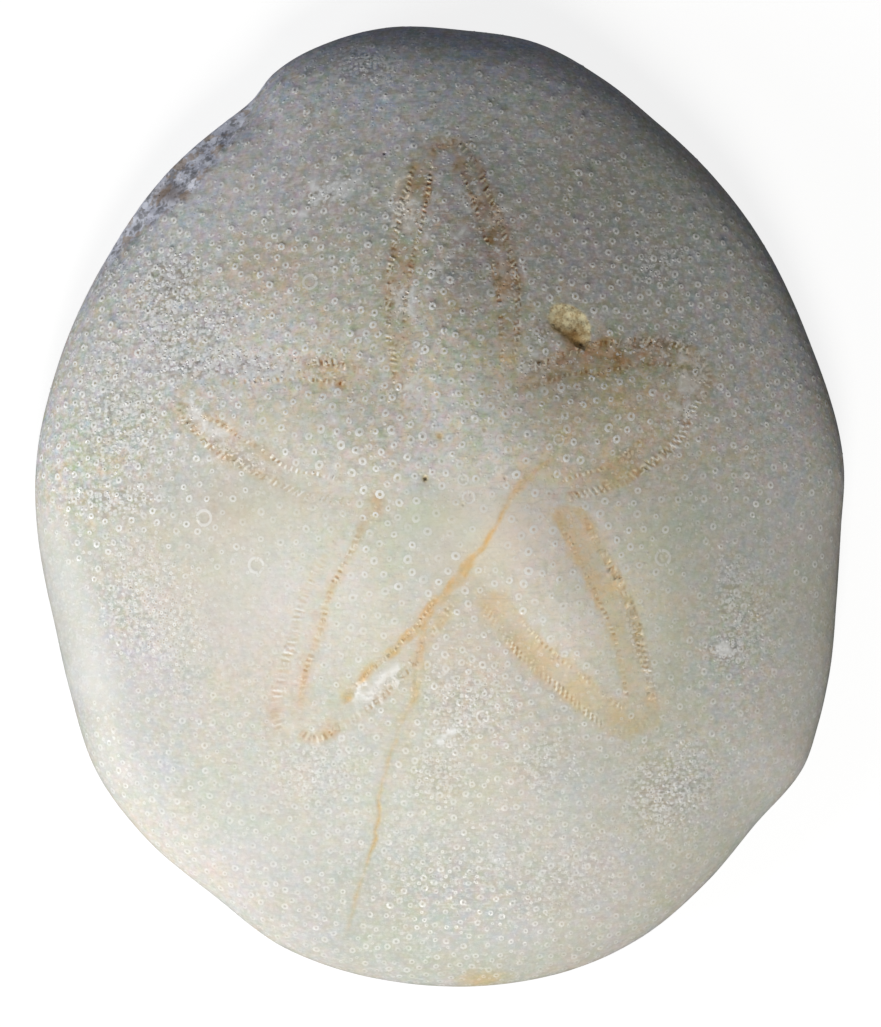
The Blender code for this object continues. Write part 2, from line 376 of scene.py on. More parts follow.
# how clear the ribs of the outer row are along each band, and the beads
# between the pores of the inner row
RIBS = {"front_left": (1.6, 1.8, 1.4, 1.6, 0.9), "front_right": (1.3, 1.3, 1.0, 0.9, 0.7),
        "right_upper": (0.7, 0.8, 0.8, 1.1, 0.9), "right_lower": (1.0, 1.2, 1.5, 1.1, 0.5),
        "left_upper": (0.5, 0.6, 0.7, 1.1, 0.6), "left_lower": (0.9, 0.75, 0.5, 0.35, 0.3),
        "back_right_left": (0.4, 0.9, 1.1, 1.0, 0.8), "back_right_right": (0.3, 0.6, 0.8, 0.6, 0.45),
        "back_left_left": (0.15, 0.25, 0.4, 0.6, 0.5), "back_left_right": (0.5, 0.55, 0.6, 0.6, 0.4)}
# length of the ribs along the row in mm, and how irregular they are
REACH = {"right_lower": (1.3, 1.6, 1.7, 1.2), "back_right_right": (1.0, 1.5, 1.5, 1.2),
         "back_right_left": (1.1, 1.3, 1.3)}
WILD = {"front_left": 1.6, "front_right": 1.3, "back_left_right": 1.8, "right_upper": 1.8,
        "left_upper": 1.8, "right_lower": 0.9, "back_right_left": 0.6,
        "left_lower": 1.6}
BEADS = {"front_left": (1.3, 1.6, 1.0, 1.0, 0.8), "front_right": (1.3, 1.0, 1.1, 0.8, 0.6),
         "right_upper": (0.6, 0.6, 0.5, 0.4, 0.4), "right_lower": (0.6, 0.6, 1.1, 0.9, 0.4),
         "left_upper": (0.8, 0.8, 0.8, 0.9, 0.7), "left_lower": (0.6, 0.8, 1.0, 0.7, 0.5),
         "back_right_left": (0.4, 0.6, 0.7, 0.6, 0.6), "back_right_right": (0.5, 0.7, 0.8, 0.5, 0.45),
         "back_left_left": (0.35, 0.6, 0.65, 0.65, 0.5), "back_left_right": (0.4, 0.5, 0.55, 0.4, 0.25)}
# how much of the stain there is between the two rows of each band
BETWEEN = {"front_left": 0.8, "front_right": 0.9, "right_upper": 0.95,
           "right_lower": 0.85, "left_upper": 0.5, "left_lower": 0.25,
           "back_right_left": 1.0, "back_right_right": 0.7,
           "back_left_left": 0.3, "back_left_right": 0.4}
# the stain is faint on the outer row of this band
FAINT = {"back_left_left": 0.3}
# where the two sides of a petal meet: outer row, ochre, brown, clearness
TIPS = (
    (((-0.9, 38.3), (0.0, 39.1), (1.2, 39.3), (2.3, 38.8), (3.1, 38.0)),
     0.45, 0.7, 0.6),
    (((27.1, 16.7), (28.3, 15.8), (28.9, 14.2), (28.7, 12.8), (28.2, 11.8)),
     0.45, 0.3, 0.5),
    (((-26.2, 14.4), (-27.2, 13.4), (-28.0, 12.0), (-28.2, 10.3)),
     0.3, 0.2, 0.2),
    (((-14.8, -24.3), (-13.6, -24.9), (-12.4, -24.7), (-11.2, -23.7)),
     0.4, 0.5, 0.35),
    (((17.4, -23.3), (19.1, -24.0), (21.0, -23.9), (22.4, -22.6),
      (22.8, -20.7)), 0.9, 0.0, 0.1),
)
# stained cracks: points, then along the crack the half width of the ochre
# smudge, how strong it is and how strong the thin line in it
CRACKS = (
    (((11.6, 4.9), (9.7, 3.5), (7.5, 0.8), (6.5, -1.1), (4.8, -4.0),
      (3.4, -5.6), (2.4, -7.0), (0.8, -9.1), (-0.4, -10.4), (-1.6, -11.6),
      (-2.3, -13.0)),
     (0.35, 0.55, 0.4, 0.3, 0.3, 0.32, 0.6, 0.5, 0.6, 0.7),
     (0.5, 0.7, 0.5, 0.55, 0.75, 0.8, 0.85, 0.95, 1.0, 1.0),
     (0.2, 0.2, 0.5, 0.7, 0.75, 0.65, 0.4, 0.3, 0.5, 0.6)),
    (((-2.3, -13.0), (-3.8, -14.2), (-5.3, -15.8), (-6.7, -16.8),
      (-8.1, -18.0), (-10.2, -20.4)),
     (0.7, 0.5, 0.55, 0.35, 0.45, 0.3, 0.6), (1.0, 1.0, 0.9, 0.5, 0.9, 0.3, 1.0),
     (0.6, 0.4, 0.5, 0.2, 0.3, 0.1, 0.1)),
    (((-1.7, -11.9), (-2.0, -14.2), (-2.4, -16.4), (-2.5, -18.5),
      (-2.9, -20.7), (-3.9, -22.3), (-4.6, -24.5), (-5.4, -26.9),
      (-6.4, -30.1), (-6.6, -33.1), (-7.0, -35.7), (-7.7, -37.9),
      (-9.1, -42.2), (-10.2, -46.5)),
     (0.55, 0.5, 0.4, 0.35, 0.3, 0.3, 0.3), (0.8, 0.45, 0.35, 0.45, 0.5, 0.35, 0.1),
     (0.5, 0.35, 0.3, 0.5, 0.9, 0.5, 0.1)),
)
# large ring scars: x, y, radius
SCARS = ((-25.4, -1.1, 0.95), (-19.8, -6.2, 0.95), (24.0, -5.4, 0.95),
         (-14.0, 24.3, 0.9), (4.6, -22.5, 0.75), (3.1, 1.1, 0.75),
         (2.5, 3.0, 0.65), (12.8, 7.3, 0.65), (-26.0, 11.2, 0.8))
# genital pores of the apical system: x, y, radius, ochre, dark; the last is
# a pinhole near the front petal
GONOPORES = ((-1.6, 3.1, 0.35, 1.0, 1.0), (0.0, 7.7, 0.4, 0.7, 0.3),
             (4.8, 8.4, 0.35, 0.4, 0.2), (7.0, 3.2, 0.3, 0.25, 0.3),
             (2.5, 0.3, 0.25, 0.1, 0.2), (-6.0, 38.1, 0.22, 0.0, 0.9))
PIT = ((11.5, 20.4), (12.0, 21.7), (13.1, 22.1), (14.5, 21.7), (15.7, 20.8),
       (16.3, 19.6), (16.3, 18.0), (15.7, 16.9), (14.6, 17.3), (13.4, 18.3),
       (12.1, 19.1))
# soft ochre stains: x, y, half length, half width, bearing, strength
STAINS = (
    (12.9, 3.8, 2.6, 1.8, 120, 0.5), (14.0, 8.5, 5.6, 1.3, 42, 0.6),
    (19.5, 12.2, 4.2, 1.0, 45, 0.5), (4.6, -9.0, 1.8, 1.2, -50, 0.3),
    (-6.8, 0.8, 1.0, 0.8, 0, 0.5), (-12.0, -24.2, 1.4, 0.7, 20, 0.6),
    (4.8, -50.6, 3.4, 1.1, 5, 1.0), (-23.6, -39.0, 1.4, 1.2, -45, 0.3),
    (-19.9, -46.0, 3.2, 0.8, -35, 0.4), (-5.4, 12.6, 1.2, 0.8, 0, 0.6),
    (-4.0, 12.5, 0.9, 0.7, 0, 0.4), (20.5, -23.2, 2.6, 1.1, 10, 0.75),
    (22.8, -22.6, 1.2, 1.6, 0, 0.7), (-28.5, 10.5, 1.5, 0.6, -20, 0.6),
    (-25.9, 11.9, 0.7, 1.0, 0, 0.5), (-21.5, 7.9, 2.4, 0.8, -50, 0.3),
    (-10.3, -20.0, 0.8, 0.6, 30, 0.8), (13.2, -0.9, 1.8, 0.8, -20, 0.6),
    (16.1, -2.6, 0.7, 0.8, -50, 0.9), (18.9, 2.4, 1.4, 0.7, 20, 0.6),
    (1.0, -8.9, 1.3, 0.6, 45, 0.5), (-3.6, -26.0, 0.9, 3.0, -12, 0.3),
    (-14.5, 25.5, 3.6, 1.4, 25, 0.2), (9.6, 22.0, 1.6, 1.0, 0, 0.2),
    (-34.0, 27.5, 1.3, 0.7, 55, 0.7),
    (19.0, 9.5, 11.0, 8.0, 25, 0.32), (4.0, 26.0, 8.0, 13.0, 0, 0.14),
    (-19.0, 26.0, 5.0, 4.0, 0, 0.2), (-2.0, -17.5, 1.0, 1.4, 0, 0.7),
    (14.5, 16.4, 2.6, 0.7, 0, 1.0), (-4.3, 16.6, 1.5, 2.4, 0, 0.55),
    (-4.4, 34.4, 0.9, 1.7, 0, 0.7), (-5.0, 25.0, 1.0, 1.7, 0, 0.5),
    (15.3, 15.8, 2.3, 0.9, 15, 1.0), (20.5, 16.4, 3.2, 0.6, 0, 0.5),
    (21.5, 5.4, 2.4, 1.0, 40, 1.0), (-6.9, 0.2, 1.3, 1.8, 0, 0.45),
    (27.8, 14.0, 0.9, 2.0, 0, 0.4),
)
# brown smudges, the same
SMUDGES = (
    (1.2, 38.8, 1.3, 0.6, 0, 0.9), (-0.8, 35.9, 0.35, 1.1, 0, 1.0),
    (2.8, 36.2, 1.0, 1.3, -20, 1.0), (4.3, 31.0, 0.55, 1.4, 10, 1.0),
    (7.0, 29.4, 0.5, 1.2, 10, 0.8), (-4.6, 29.2, 0.8, 1.2, 5, 0.7), (18.5, 16.3, 6.0, 0.65, 5, 1.1),
    (26.9, 14.6, 1.0, 1.8, 10, 0.5), (-11.6, 15.2, 1.6, 0.5, 0, 0.9),
    (-10.6, 13.1, 1.1, 0.5, -20, 0.8), (-12.0, -24.4, 1.2, 0.4, 20, 0.6),
    (7.0, 29.0, 0.9, 1.6, 10, 0.5), (13.5, 15.8, 2.2, 0.6, 20, 0.5),
    (15.0, 1.6, 2.2, 0.25, 4, 0.6), (-27.6, 11.0, 1.2, 0.35, -20, 0.6),
    (-24.8, 6.9, 0.8, 0.5, -60, 0.6), (-21.8, 4.9, 0.9, 0.4, -30, 0.5),
    (-3.0, -16.9, 0.5, 0.4, 0, 0.9), (-4.1, -18.3, 0.4, 0.35, 0, 0.9),
    (-18.0, -22.5, 1.2, 2.8, 0, 0.25), (-13.4, -11.0, 0.9, 3.0, 14, 0.2),
    (-19.5, 26.5, 4.5, 3.5, 0, 0.17), (-20.0, 10.5, 5.5, 2.5, 0, 0.14),
    (-23.0, 1.0, 4.5, 3.0, 0, 0.22), (14.0, 13.0, 3.0, 2.0, 20, 0.3),
    (14.8, 18.0, 2.0, 1.3, -35, 1.35), (13.0, 18.8, 2.4, 1.0, -35, 1.1), (13.5, 16.5, 1.7, 0.5, 0, 0.8),
    (13.0, 20.3, 1.0, 0.35, -25, 0.35), (12.3, 21.6, 0.5, 0.2, 20, 0.5),
    (14.8, 19.4, 1.2, 0.4, -35, 0.4), (15.6, 16.7, 0.9, 0.5, 10, 0.8),
    (-4.6, 29.6, 1.1, 1.6, 0, 0.7), (-5.4, 24.6, 0.9, 1.5, 0, 0.6),
    (-5.2, 21.0, 0.9, 1.4, 0, 0.5), (-1.6, 33.6, 0.6, 1.2, 0, 0.5),
    (12.5, 1.4, 1.4, 0.16, -4, 0.8), (-6.9, 0.3, 1.1, 1.7, 0, 0.42),
    (-8.0, -1.4, 2.3, 0.8, 63, 0.3), (15.0, 15.9, 2.0, 0.6, 15, 0.6),
)
# rough scuffed patches: x, y, half length, half width, bearing, strength
SCUFFS = (
    (-29.6, 22.8, 4.5, 3.2, 50, 0.8), (-11.8, 34.1, 3.0, 1.2, 30, 0.75),
    (-7.5, 47.6, 3.6, 1.4, -25, 0.7), (23.1, 26.1, 3.4, 1.6, 40, 0.45),
    (30.6, -15.3, 1.8, 1.4, 30, 0.8), (24.7, -31.4, 5.0, 4.2, 40, 0.75),
    (0.0, -28.8, 3.8, 3.4, 0, 0.65), (10.4, -28.5, 3.2, 2.0, -60, 0.45),
    (-22.0, 15.9, 7.5, 1.3, 3, 0.85), (6.1, -37.7, 1.0, 0.6, 0, 0.8),
    (2.5, -20.5, 6.0, 4.5, -10, 0.5), (1.0, -36.5, 13.0, 6.0, 5, 0.24),
    (14.0, -39.5, 7.0, 4.0, 30, 0.4), (-34.0, 11.0, 4.5, 8.0, 15, 0.5),
    (-13.0, -28.5, 5.0, 4.0, 0, 0.4), (-5.5, -19.2, 3.0, 0.8, 40, 0.7),
    (-27.0, 18.0, 7.0, 5.0, 30, 0.45), (33.5, -12.0, 3.0, 6.0, 5, 0.35),
    (-3.5, 31.3, 1.2, 0.9, 0, 0.8), (-4.3, 22.4, 1.2, 1.2, 0, 0.7),
    (27.0, -29.5, 3.0, 4.5, 20, 0.45),
)
# chalky flakes and strokes, the same
CHALK = (
    (-9.1, 47.2, 3.2, 1.3, -15, 0.8), (-11.8, 34.3, 3.0, 1.0, 38, 1.0),
    (-24.0, 15.0, 9.5, 1.2, 1, 1.0), (-14.0, 15.3, 4.0, 1.2, 0, 0.6),
    (-28.7, 24.8, 3.5, 3.5, 0, 0.8), (-26.0, 19.5, 7.5, 3.2, 20, 0.5),
    (-35.0, 0.8, 6.0, 1.6, 0, 0.7), (-3.7, 31.4, 1.1, 1.6, 0, 1.0),
    (-4.0, 22.2, 1.3, 1.5, 10, 0.9), (6.2, 31.4, 1.3, 1.0, 0, 0.9),
    (3.0, 33.3, 1.5, 1.2, 0, 0.6), (7.2, 24.3, 1.0, 2.2, 10, 0.9),
    (10.8, 15.0, 2.5, 1.8, 0, 0.6), (10.8, 18.8, 1.7, 1.6, 0, 0.7),
    (22.8, 17.7, 5.0, 0.8, 3, 1.0), (27.6, 14.4, 1.2, 2.2, 0, 0.9),
    (26.3, 9.5, 1.0, 2.4, -25, 0.6), (23.6, 26.3, 3.4, 1.6, 10, 0.45),
    (21.3, -14.3, 6.0, 0.8, -72, 0.7), (30.9, -15.3, 1.8, 1.6, 0, 1.0),
    (31.0, -8.0, 1.5, 4.0, 0, 0.4), (-22.0, 5.6, 5.0, 1.0, -30, 0.6),
    (20.2, 5.6, 1.6, 1.1, 30, 0.6), (1.3, -24.6, 2.5, 1.3, 0, 0.4),
    (6.3, -37.9, 0.8, 0.5, 0, 0.9), (-36.0, 25.0, 1.6, 3.0, -30, 0.6),
    (-30.0, 33.0, 1.2, 3.0, -40, 0.7), (-5.0, 12.6, 1.5, 1.5, 0, 0.5),
    (2.0, 40.0, 3.5, 1.5, 0, 0.3), (-26.5, 9.8, 1.6, 1.2, 0, 0.7),
    (12.5, -27.0, 3.0, 4.0, 40, 0.25), (24.0, -30.0, 5.0, 4.5, 30, 0.35),
)
# pinker (above 0) and greener areas, bluer (above 0) and yellower areas:
# x, y, half length, half width, bearing, pink, blue
TINTS = (
    (3.0, 31.0, 7.0, 9.0, 0, 0.03, 0.03), (21.0, 13.5, 8.0, 6.0, 20, 0.02, -0.10),
    (-25.0, 15.0, 9.0, 3.0, 0, 0.0, 0.06), (-6.8, -19.3, 3.2, 1.2, 42, -0.02, 0.08),
    (18.0, -10.0, 7.0, 10.0, -30, 0.02, -0.04), (-18.5, 25.5, 5.0, 4.0, 0, 0.03, -0.02),
    (-34.0, 20.0, 5.0, 8.0, 20, 0.0, -0.02), (38.0, 8.0, 3.0, 12.0, 0, -0.01, 0.05),
    (-19.0, -5.0, 12.0, 12.0, 0, -0.012, 0.045), (0.0, 3.0, 8.0, 8.0, 0, -0.02, 0.015),
    (-20.0, 17.0, 8.0, 5.0, 0, 0.0, 0.05), (32.0, -3.0, 5.0, 10.0, 0, -0.01, -0.05),
    (0.0, -43.0, 20.0, 8.0, 0, -0.02, 0.0), (-13.0, -13.0, 5.0, 9.0, 0, 0.0, 0.03),
    (-21.5, 15.2, 6.5, 1.6, 2, 0.01, 0.09), (-5.0, -3.0, 18.0, 14.0, 0, -0.015, 0.0),
    (-10.0, -40.0, 18.0, 8.0, 0, -0.015, 0.0), (-20.0, 5.0, 3.5, 2.5, -30, 0.02, 0.0),
    (-6.8, -19.2, 2.4, 1.2, 42, -0.02, 0.06),
)
# lighter (above 0) and darker (below 0) areas, very soft, the same: painted light and shade that make
# up for the lamps on the dome, with some of the thing's own paler and greyer tone in them
PAINTED_SHADES = (
    (17.0, -7.0, 9.0, 11.0, 0, 0.24), (4.0, -1.0, 9.0, 8.0, 0, 0.14),
    (-12.0, -8.0, 11.0, 11.0, 0, 0.13), (-18.0, 15.5, 14.0, 8.0, -10, 0.19),
    (3.0, 12.0, 9.0, 10.0, 0, 0.18), (10.0, 0.0, 8.0, 8.0, 0, 0.13),
    (27.0, 22.0, 9.0, 16.0, 30, -0.13), (-10.0, 33.0, 9.0, 9.0, 0, -0.12),
    (3.5, 31.0, 5.0, 7.0, 0, -0.10), (-1.0, -6.0, 8.0, 8.0, 0, 0.05),
    (19.0, -12.0, 6.0, 8.0, -20, 0.06), (-35.0, -21.0, 9.0, 13.0, 20, -0.08),
    (-15.0, 46.0, 5.0, 4.0, 0, 0.12),
    (13.0, 31.0, 15.0, 9.0, -35, -0.21), (-3.0, -45.0, 20.0, 9.0, 0, -0.15),
    (-40.0, -12.0, 7.0, 12.0, 10, -0.22), (-21.0, 36.0, 5.0, 5.0, 0, 0.1),
    (1.5, 25.0, 4.0, 6.0, 0, -0.12), (-19.0, -5.0, 12.0, 12.0, 0, 0.05),
    (0.0, -43.0, 18.0, 6.0, 0, -0.05), (19.0, 36.0, 9.0, 7.0, -30, -0.08),
    (-20.0, 14.5, 9.0, 3.5, 0, 0.10), (1.0, 3.0, 8.0, 6.0, 0, 0.05),
    (7.4, 15.5, 2.0, 3.0, 0, 0.12), (-28.0, 22.0, 6.0, 5.0, 0, 0.05),
    (22.0, -16.5, 3.0, 6.0, 0, 0.13), (-21.5, 15.2, 6.5, 1.5, 0, 0.15),
    (6.0, -11.5, 1.8, 1.8, 0, 0.12), (19.0, -10.0, 1.6, 3.0, 20, 0.07),
    (-15.0, 40.0, 6.0, 5.0, 0, -0.07), (-27.5, 31.0, 3.0, 3.0, 0, 0.10),
    (1.5, 25.0, 3.5, 6.0, 0, -0.10), (-3.4, 34.5, 1.4, 2.4, 0, -0.16),
    (-5.0, 28.0, 1.4, 2.4, 0, -0.12), (-20.0, 5.0, 3.5, 2.0, -30, -0.08),
    (-40.0, -9.0, 4.0, 8.0, 0, -0.06), (-9.0, -12.0, 3.0, 6.0, 0, 0.03),
    (-17.0, 9.5, 6.0, 3.0, 0, 0.05),
)
# small white flecks: x, y, half length, half width, bearing
FLECKS = (
    (-3.9, 32.1, 0.35, 0.18, 20), (-1.7, 31.2, 0.45, 0.2, -25),
    (6.5, 32.2, 0.4, 0.22, -30), (-0.6, 25.8, 0.45, 0.14, -8),
    (3.5, 33.5, 0.35, 0.2, -20), (-4.6, 22.3, 0.5, 0.2, -30),
    (-5.4, 25.2, 0.3, 0.25, 30), (-3.4, 13.0, 0.4, 0.35, 0),
    (7.2, 25.0, 0.3, 0.2, 30), (5.8, 25.4, 0.35, 0.2, -40),
    (6.0, 23.6, 0.25, 0.2, 0), (7.2, 23.8, 0.3, 0.16, 20),
    (3.3, 22.9, 0.35, 0.12, -50), (-2.8, 22.3, 0.3, 0.2, 40),
    (-11.4, 34.9, 0.5, 0.12, 25), (-10.6, 34.2, 0.5, 0.13, 20),
    (-12.2, 34.0, 0.5, 0.12, 30), (-11.2, 33.5, 0.4, 0.12, 25),
    (-13.2, 33.1, 0.5, 0.15, 40), (-10.2, 35.0, 0.4, 0.12, 20),
    (-9.6, 34.3, 0.35, 0.12, 20), (-14.8, 31.6, 0.4, 0.35, 0),
    (-25.0, 15.2, 1.0, 0.25, 12), (-22.5, 15.3, 0.9, 0.3, -4),
    (-20.0, 14.9, 1.2, 0.3, 8), (-17.3, 14.6, 0.9, 0.25, 15),
    (-25.5, 9.7, 0.6, 0.25, -35), (-6.2, -18.5, 0.9, 0.42, 40),
    (-7.4, -19.6, 0.7, 0.40, 50), (-8.7, -20.4, 0.7, 0.38, 30), (-4.9, -17.5, 0.6, 0.35, 35),
    (-22.8, 8.3, 0.4, 0.4, 0), (-27.0, 9.7, 0.5, 0.2, -20),
    (0.1, -25.2, 0.4, 0.35, 0), (1.2, -24.1, 0.5, 0.35, 10),
    (30.4, -15.0, 0.7, 0.5, 30), (31.2, -15.6, 0.5, 0.3, -20),
    (6.3, -37.9, 0.7, 0.4, 0), (28.4, 15.2, 0.4, 0.15, 50),
    (27.5, 13.3, 0.4, 0.15, -40), (26.4, 15.9, 0.5, 0.15, 10),
    (24.0, 16.6, 0.3, 0.12, 80), (22.6, 16.8, 0.35, 0.12, 75),
)
# where more such flecks lie in a cluster: x, y, half width, half height, count
CLUSTERS = ((-3.6, 31.6, 1.5, 1.5, 18), (-4.1, 22.2, 1.2, 1.5, 16), (6.3, 31.6, 1.0, 1.0, 9),
            (3.2, 33.3, 1.2, 1.0, 5), (7.0, 24.2, 1.2, 2.4, 12), (27.4, 14.6, 1.6, 2.2, 19),
            (26.2, 9.6, 1.4, 2.2, 7), (10.6, 15.4, 2.2, 1.6, 7), (-24.5, 9.6, 2.0, 1.6, 6),
            (-11.5, 34.4, 2.6, 1.0, 8), (0.6, 29.5, 3.0, 5.0, 7), (-16.0, 12.0, 6.0, 4.0, 5),
            (-7.6, -19.6, 1.5, 1.2, 10), (-5.6, -18.2, 1.0, 0.9, 5), (-4.4, 34.0, 0.9, 1.8, 6),
            (7.6, 16.5, 1.0, 2.2, 5), (20.0, 17.6, 4.5, 0.5, 7), (-27.0, 11.4, 1.3, 1.7, 8),
            (-18.5, 14.8, 3.0, 0.9, 9))


def dense(points, step):
    """Points every step mm along a smooth line through the given ones, with
    the direction of the line at each."""
    p = np.asarray(points, float)
    p = np.vstack((2 * p[0] - p[1], p, 2 * p[-1] - p[-2]))
    fine = []
    for i in range(1, len(p) - 2):
        t = np.linspace(0, 1, 24, endpoint=False)[:, None]
        a, b, c, d = p[i - 1], p[i], p[i + 1], p[i + 2]
        fine.append(0.5 * (2 * b + (c - a) * t + (2 * a - 5 * b + 4 * c - d) * t**2
                           + (3 * b - a - 3 * c + d) * t**3))
    fine = np.vstack(fine + [p[-2][None]])
    s = np.concatenate(([0], np.cumsum(np.linalg.norm(np.diff(fine, axis=0), axis=1))))
    count = max(2, int(round(s[-1] / step)) + 1)
    at = np.linspace(0, s[-1], count)
    q = np.stack((np.interp(at, s, fine[:, 0]), np.interp(at, s, fine[:, 1])), 1)
    d = np.gradient(q, axis=0)
    return q, d / np.linalg.norm(d, axis=1)[:, None], at / s[-1]


def to_line(xy, line):
    """Distance from each point to a line of close points, and where along."""
    best = np.full(len(xy), 1e9)
    where = np.zeros(len(xy))
    a, b = line[:-1], line[1:]
    for i in range(len(a)):
        ab = b[i] - a[i]
        t = np.clip(((xy - a[i]) @ ab) / max(ab @ ab, 1e-12), 0, 1)
        d = np.hypot(*(xy - (a[i] + t[:, None] * ab)).T)
        near = d < best
        best = np.where(near, d, best)
        where = np.where(near, (i + t) / len(a), where)
    return best, where


def blob(xy, x, y, length, width, bearing):
    """1 in the middle of an oval, 0 outside it."""
    a = math.radians(bearing)
    dx, dy = xy[:, 0] - x, xy[:, 1] - y
    u = (dx * math.cos(a) + dy * math.sin(a)) / length
    v = (dy * math.cos(a) - dx * math.sin(a)) / width
    return bump(np.hypot(u, v) / 1.35)


def inside(xy, polygon):
    poly = np.asarray(polygon, float)
    x, y = xy[:, 0], xy[:, 1]
    found = np.zeros(len(xy), bool)
    j = len(poly) - 1
    for i in range(len(poly)):
        xi, yi = poly[i]
        xj, yj = poly[j]
        cross = ((yi > y) != (yj > y)) & \
            (x < (xj - xi) * (y - yi) / (yj - yi + 1e-12) + xi)
        found ^= cross
        j = i
    return found


BAND_LINES = []
for name, outer, inner, ochre, brown, lean, at, wide in BANDS:
    o, _, _ = dense(outer, 0.5)
    i, _, _ = dense(inner, 0.5)
    oo = o[np.linspace(0, len(o) - 1, 60).round().astype(int)]
    ii = i[np.linspace(0, len(i) - 1, 60).round().astype(int)]
    middle = oo + (ii - oo) * 0.5
    half = np.hypot(*(oo - ii).T) / 2
    BAND_LINES.append((middle, half, oo + (ii - oo) * at, half * wide, ochre,
                       brown, oo, ii, BETWEEN[name], name))


def wander(points, step, amount, size=1.1):
    """Close points along a line that wanders a little from side to side."""
    q, d, along = dense(points, step)
    across = np.stack((-d[:, 1], d[:, 0]), 1)
    flat = np.stack((q[:, 0], q[:, 1], 0 * q[:, 0]), 1)
    q = q + across * amount * (noise(flat, size, 5) + 0.5 * noise(flat, size * 0.4, 6))[:, None]
    return q, across, along


CRACK_LINES = [(wander(p, 0.3, 0.16)[0], width, ochre, thin)
               for p, width, ochre, thin in CRACKS]
PIT_EDGE = np.vstack((PIT, PIT[:1]))


def pit_depth(xy):
    """How deep the pit is, and 1 inside it."""
    d, _ = to_line(xy, PIT_EDGE)
    within = inside(xy, PIT)
    d = np.where(within, d, -d)
    # a shallow floor that rises from the lower left edge to the upper right
    # one; a deeper hole in the lower right corner
    up = (xy[:, 0] - 13.9) * 0.62 + (xy[:, 1] - 19.4) * 0.78
    wall = smooth(-0.12, 0.5 + 0.25 * smooth(0.5, -1.5, up), d)
    deep = np.exp(-((xy[:, 0] - 15.2) ** 2 + (xy[:, 1] - 17.6) ** 2) / 0.25)
    depth = wall * (np.clip(0.17 - 0.05 * up, 0.08, 0.22) + 0.35 * deep)
    return depth, smooth(-0.1, 0.2, d)


# ===================================================== vertices of the skin
# Columns: chart x, chart y, height over the base in mm, then the marks
# ring, ring clearness, rib, ring tint
UP_POINTS, DOWN_POINTS = [], []


def add(where, chart, high=0.0, ring=0.0, clear=0.0, rib=0.0, tint=0.0):
    chart = np.asarray(chart, float).reshape(-1, 2)
    rows = np.zeros((len(chart), 7))
    rows[:, :2] = chart
    for column, value in enumerate((high, ring, clear, rib, tint), start=2):
        rows[:, column] = np.broadcast_to(value, (len(chart),)) \
            if np.ndim(value) <= 1 else np.ravel(value)
    where.append(rows)


rng = np.random.RandomState(20)
for x, y, wide, tall, count in CLUSTERS:
    for _ in range(count):
        FLECKS += ((x + wide * (2 * rng.rand() - 1), y + tall * (2 * rng.rand() - 1),
                    0.20 + 0.26 * rng.rand(), 0.13 + 0.10 * rng.rand(),
                    180 * rng.rand()),)


def rib_row(row, toward, clear, lean, reach, seed, relief=1.0, wild=1.0, across_it=4):
    """Cross ribs and the slits between them along a row of pores. toward gives
    the way into the petal at each point, lean how far they tip along it, wild
    how irregular they are."""
    q, d, along = dense(row, PORE_STEP / 2)
    across = np.stack((-d[:, 1], d[:, 0]), 1)
    side = np.sign((toward(q) * across).sum(1))[:, None]
    to_apex = d * np.sign(((APEX - q) * d).sum(1))[:, None]
    direction = across * side + lean * to_apex
    direction /= np.linalg.norm(direction, axis=1)[:, None]
    flat = np.stack((q[:, 0], q[:, 1], 0 * q[:, 0]), 1)
    vivid = np.clip(0.80 + 1.15 * noise(flat, 2.0, seed, 2), 0.08, 1.5)
    fade = np.minimum(smooth(0.0, 0.05, along), 1 - smooth(0.95, 1.0, along))
    reach = np.interp(along, np.linspace(0, 1, len(reach)), reach)
    clear = np.interp(along, np.linspace(0, 1, len(clear)), clear) * vivid
    for k in range(len(q)):
        rib = k % 2 == 0
        own = clear[k] * (0.45 + 1.05 * rng.rand()) * (1.0 if rng.rand() > 0.2 * wild else 0.15)
        length = reach[k] * (0.75 + 0.5 * rng.rand())
        jitter = (rng.rand(2) - 0.5) * 0.14 * wild
        skew = direction[k] + d[k] * (rng.rand() - 0.5) * 0.4 * wild
        for e in (-0.075, 0.075):
            s = np.linspace(-0.5, 0.5, across_it)
            line = q[k] + jitter + skew * s[:, None] * length + d[k] * e
            at = (0.0, 1 / 3, 2 / 3, 1.0)
            if rib:
                high = np.interp(s + 0.5, at, (0.0, 0.045, 0.04, 0.0)) * own * relief
                mark = np.interp(s + 0.5, at, (0.35, 1.0, 0.9, 0.15))
            else:
                high = -np.interp(s + 0.5, at, (0.0, 0.04, 0.03, 0.0)) * own * relief
                mark = -np.interp(s + 0.5, at, (0.1, 1.0, 0.8, 0.15))
            add(UP_POINTS, in_plan(line), high=high,
                clear=min(own, 1.3), rib=mark * (0.4 + 0.6 * fade[k]))


# ---- petals: ribs and slits of the outer rows, beads and pores of the inner
for number, (name, outer, inner, ochre, brown, lean, at, wide) in enumerate(BANDS):
    outer_line, _, _ = dense(outer, 0.4)
    inner_line, _, _ = dense(inner, 0.4)

    def into(q, start=outer_line, end=inner_line):
        share = np.linspace(0, 1, len(q))
        return end[(share * (len(end) - 1)).round().astype(int)] \
            - start[(share * (len(start) - 1)).round().astype(int)]

    long_ribs = name == "back_left_left"
    if long_ribs:
        rib_row(outer, into, RIBS[name], 0.1, (1.0, 1.3, 1.8, 1.8), 40 + number,
                0.55, 1.1, 6)
    else:
        rib_row(outer, into, RIBS[name], lean, REACH.get(name, (1.0, 1.15)), 40 + number,
                1.0, WILD.get(name, 1.0))
    rib_row(inner, into, BEADS[name], 0.15, (0.85, 0.95) if long_ribs else (0.5, 0.6),
            60 + number, 0.9, 1.6)
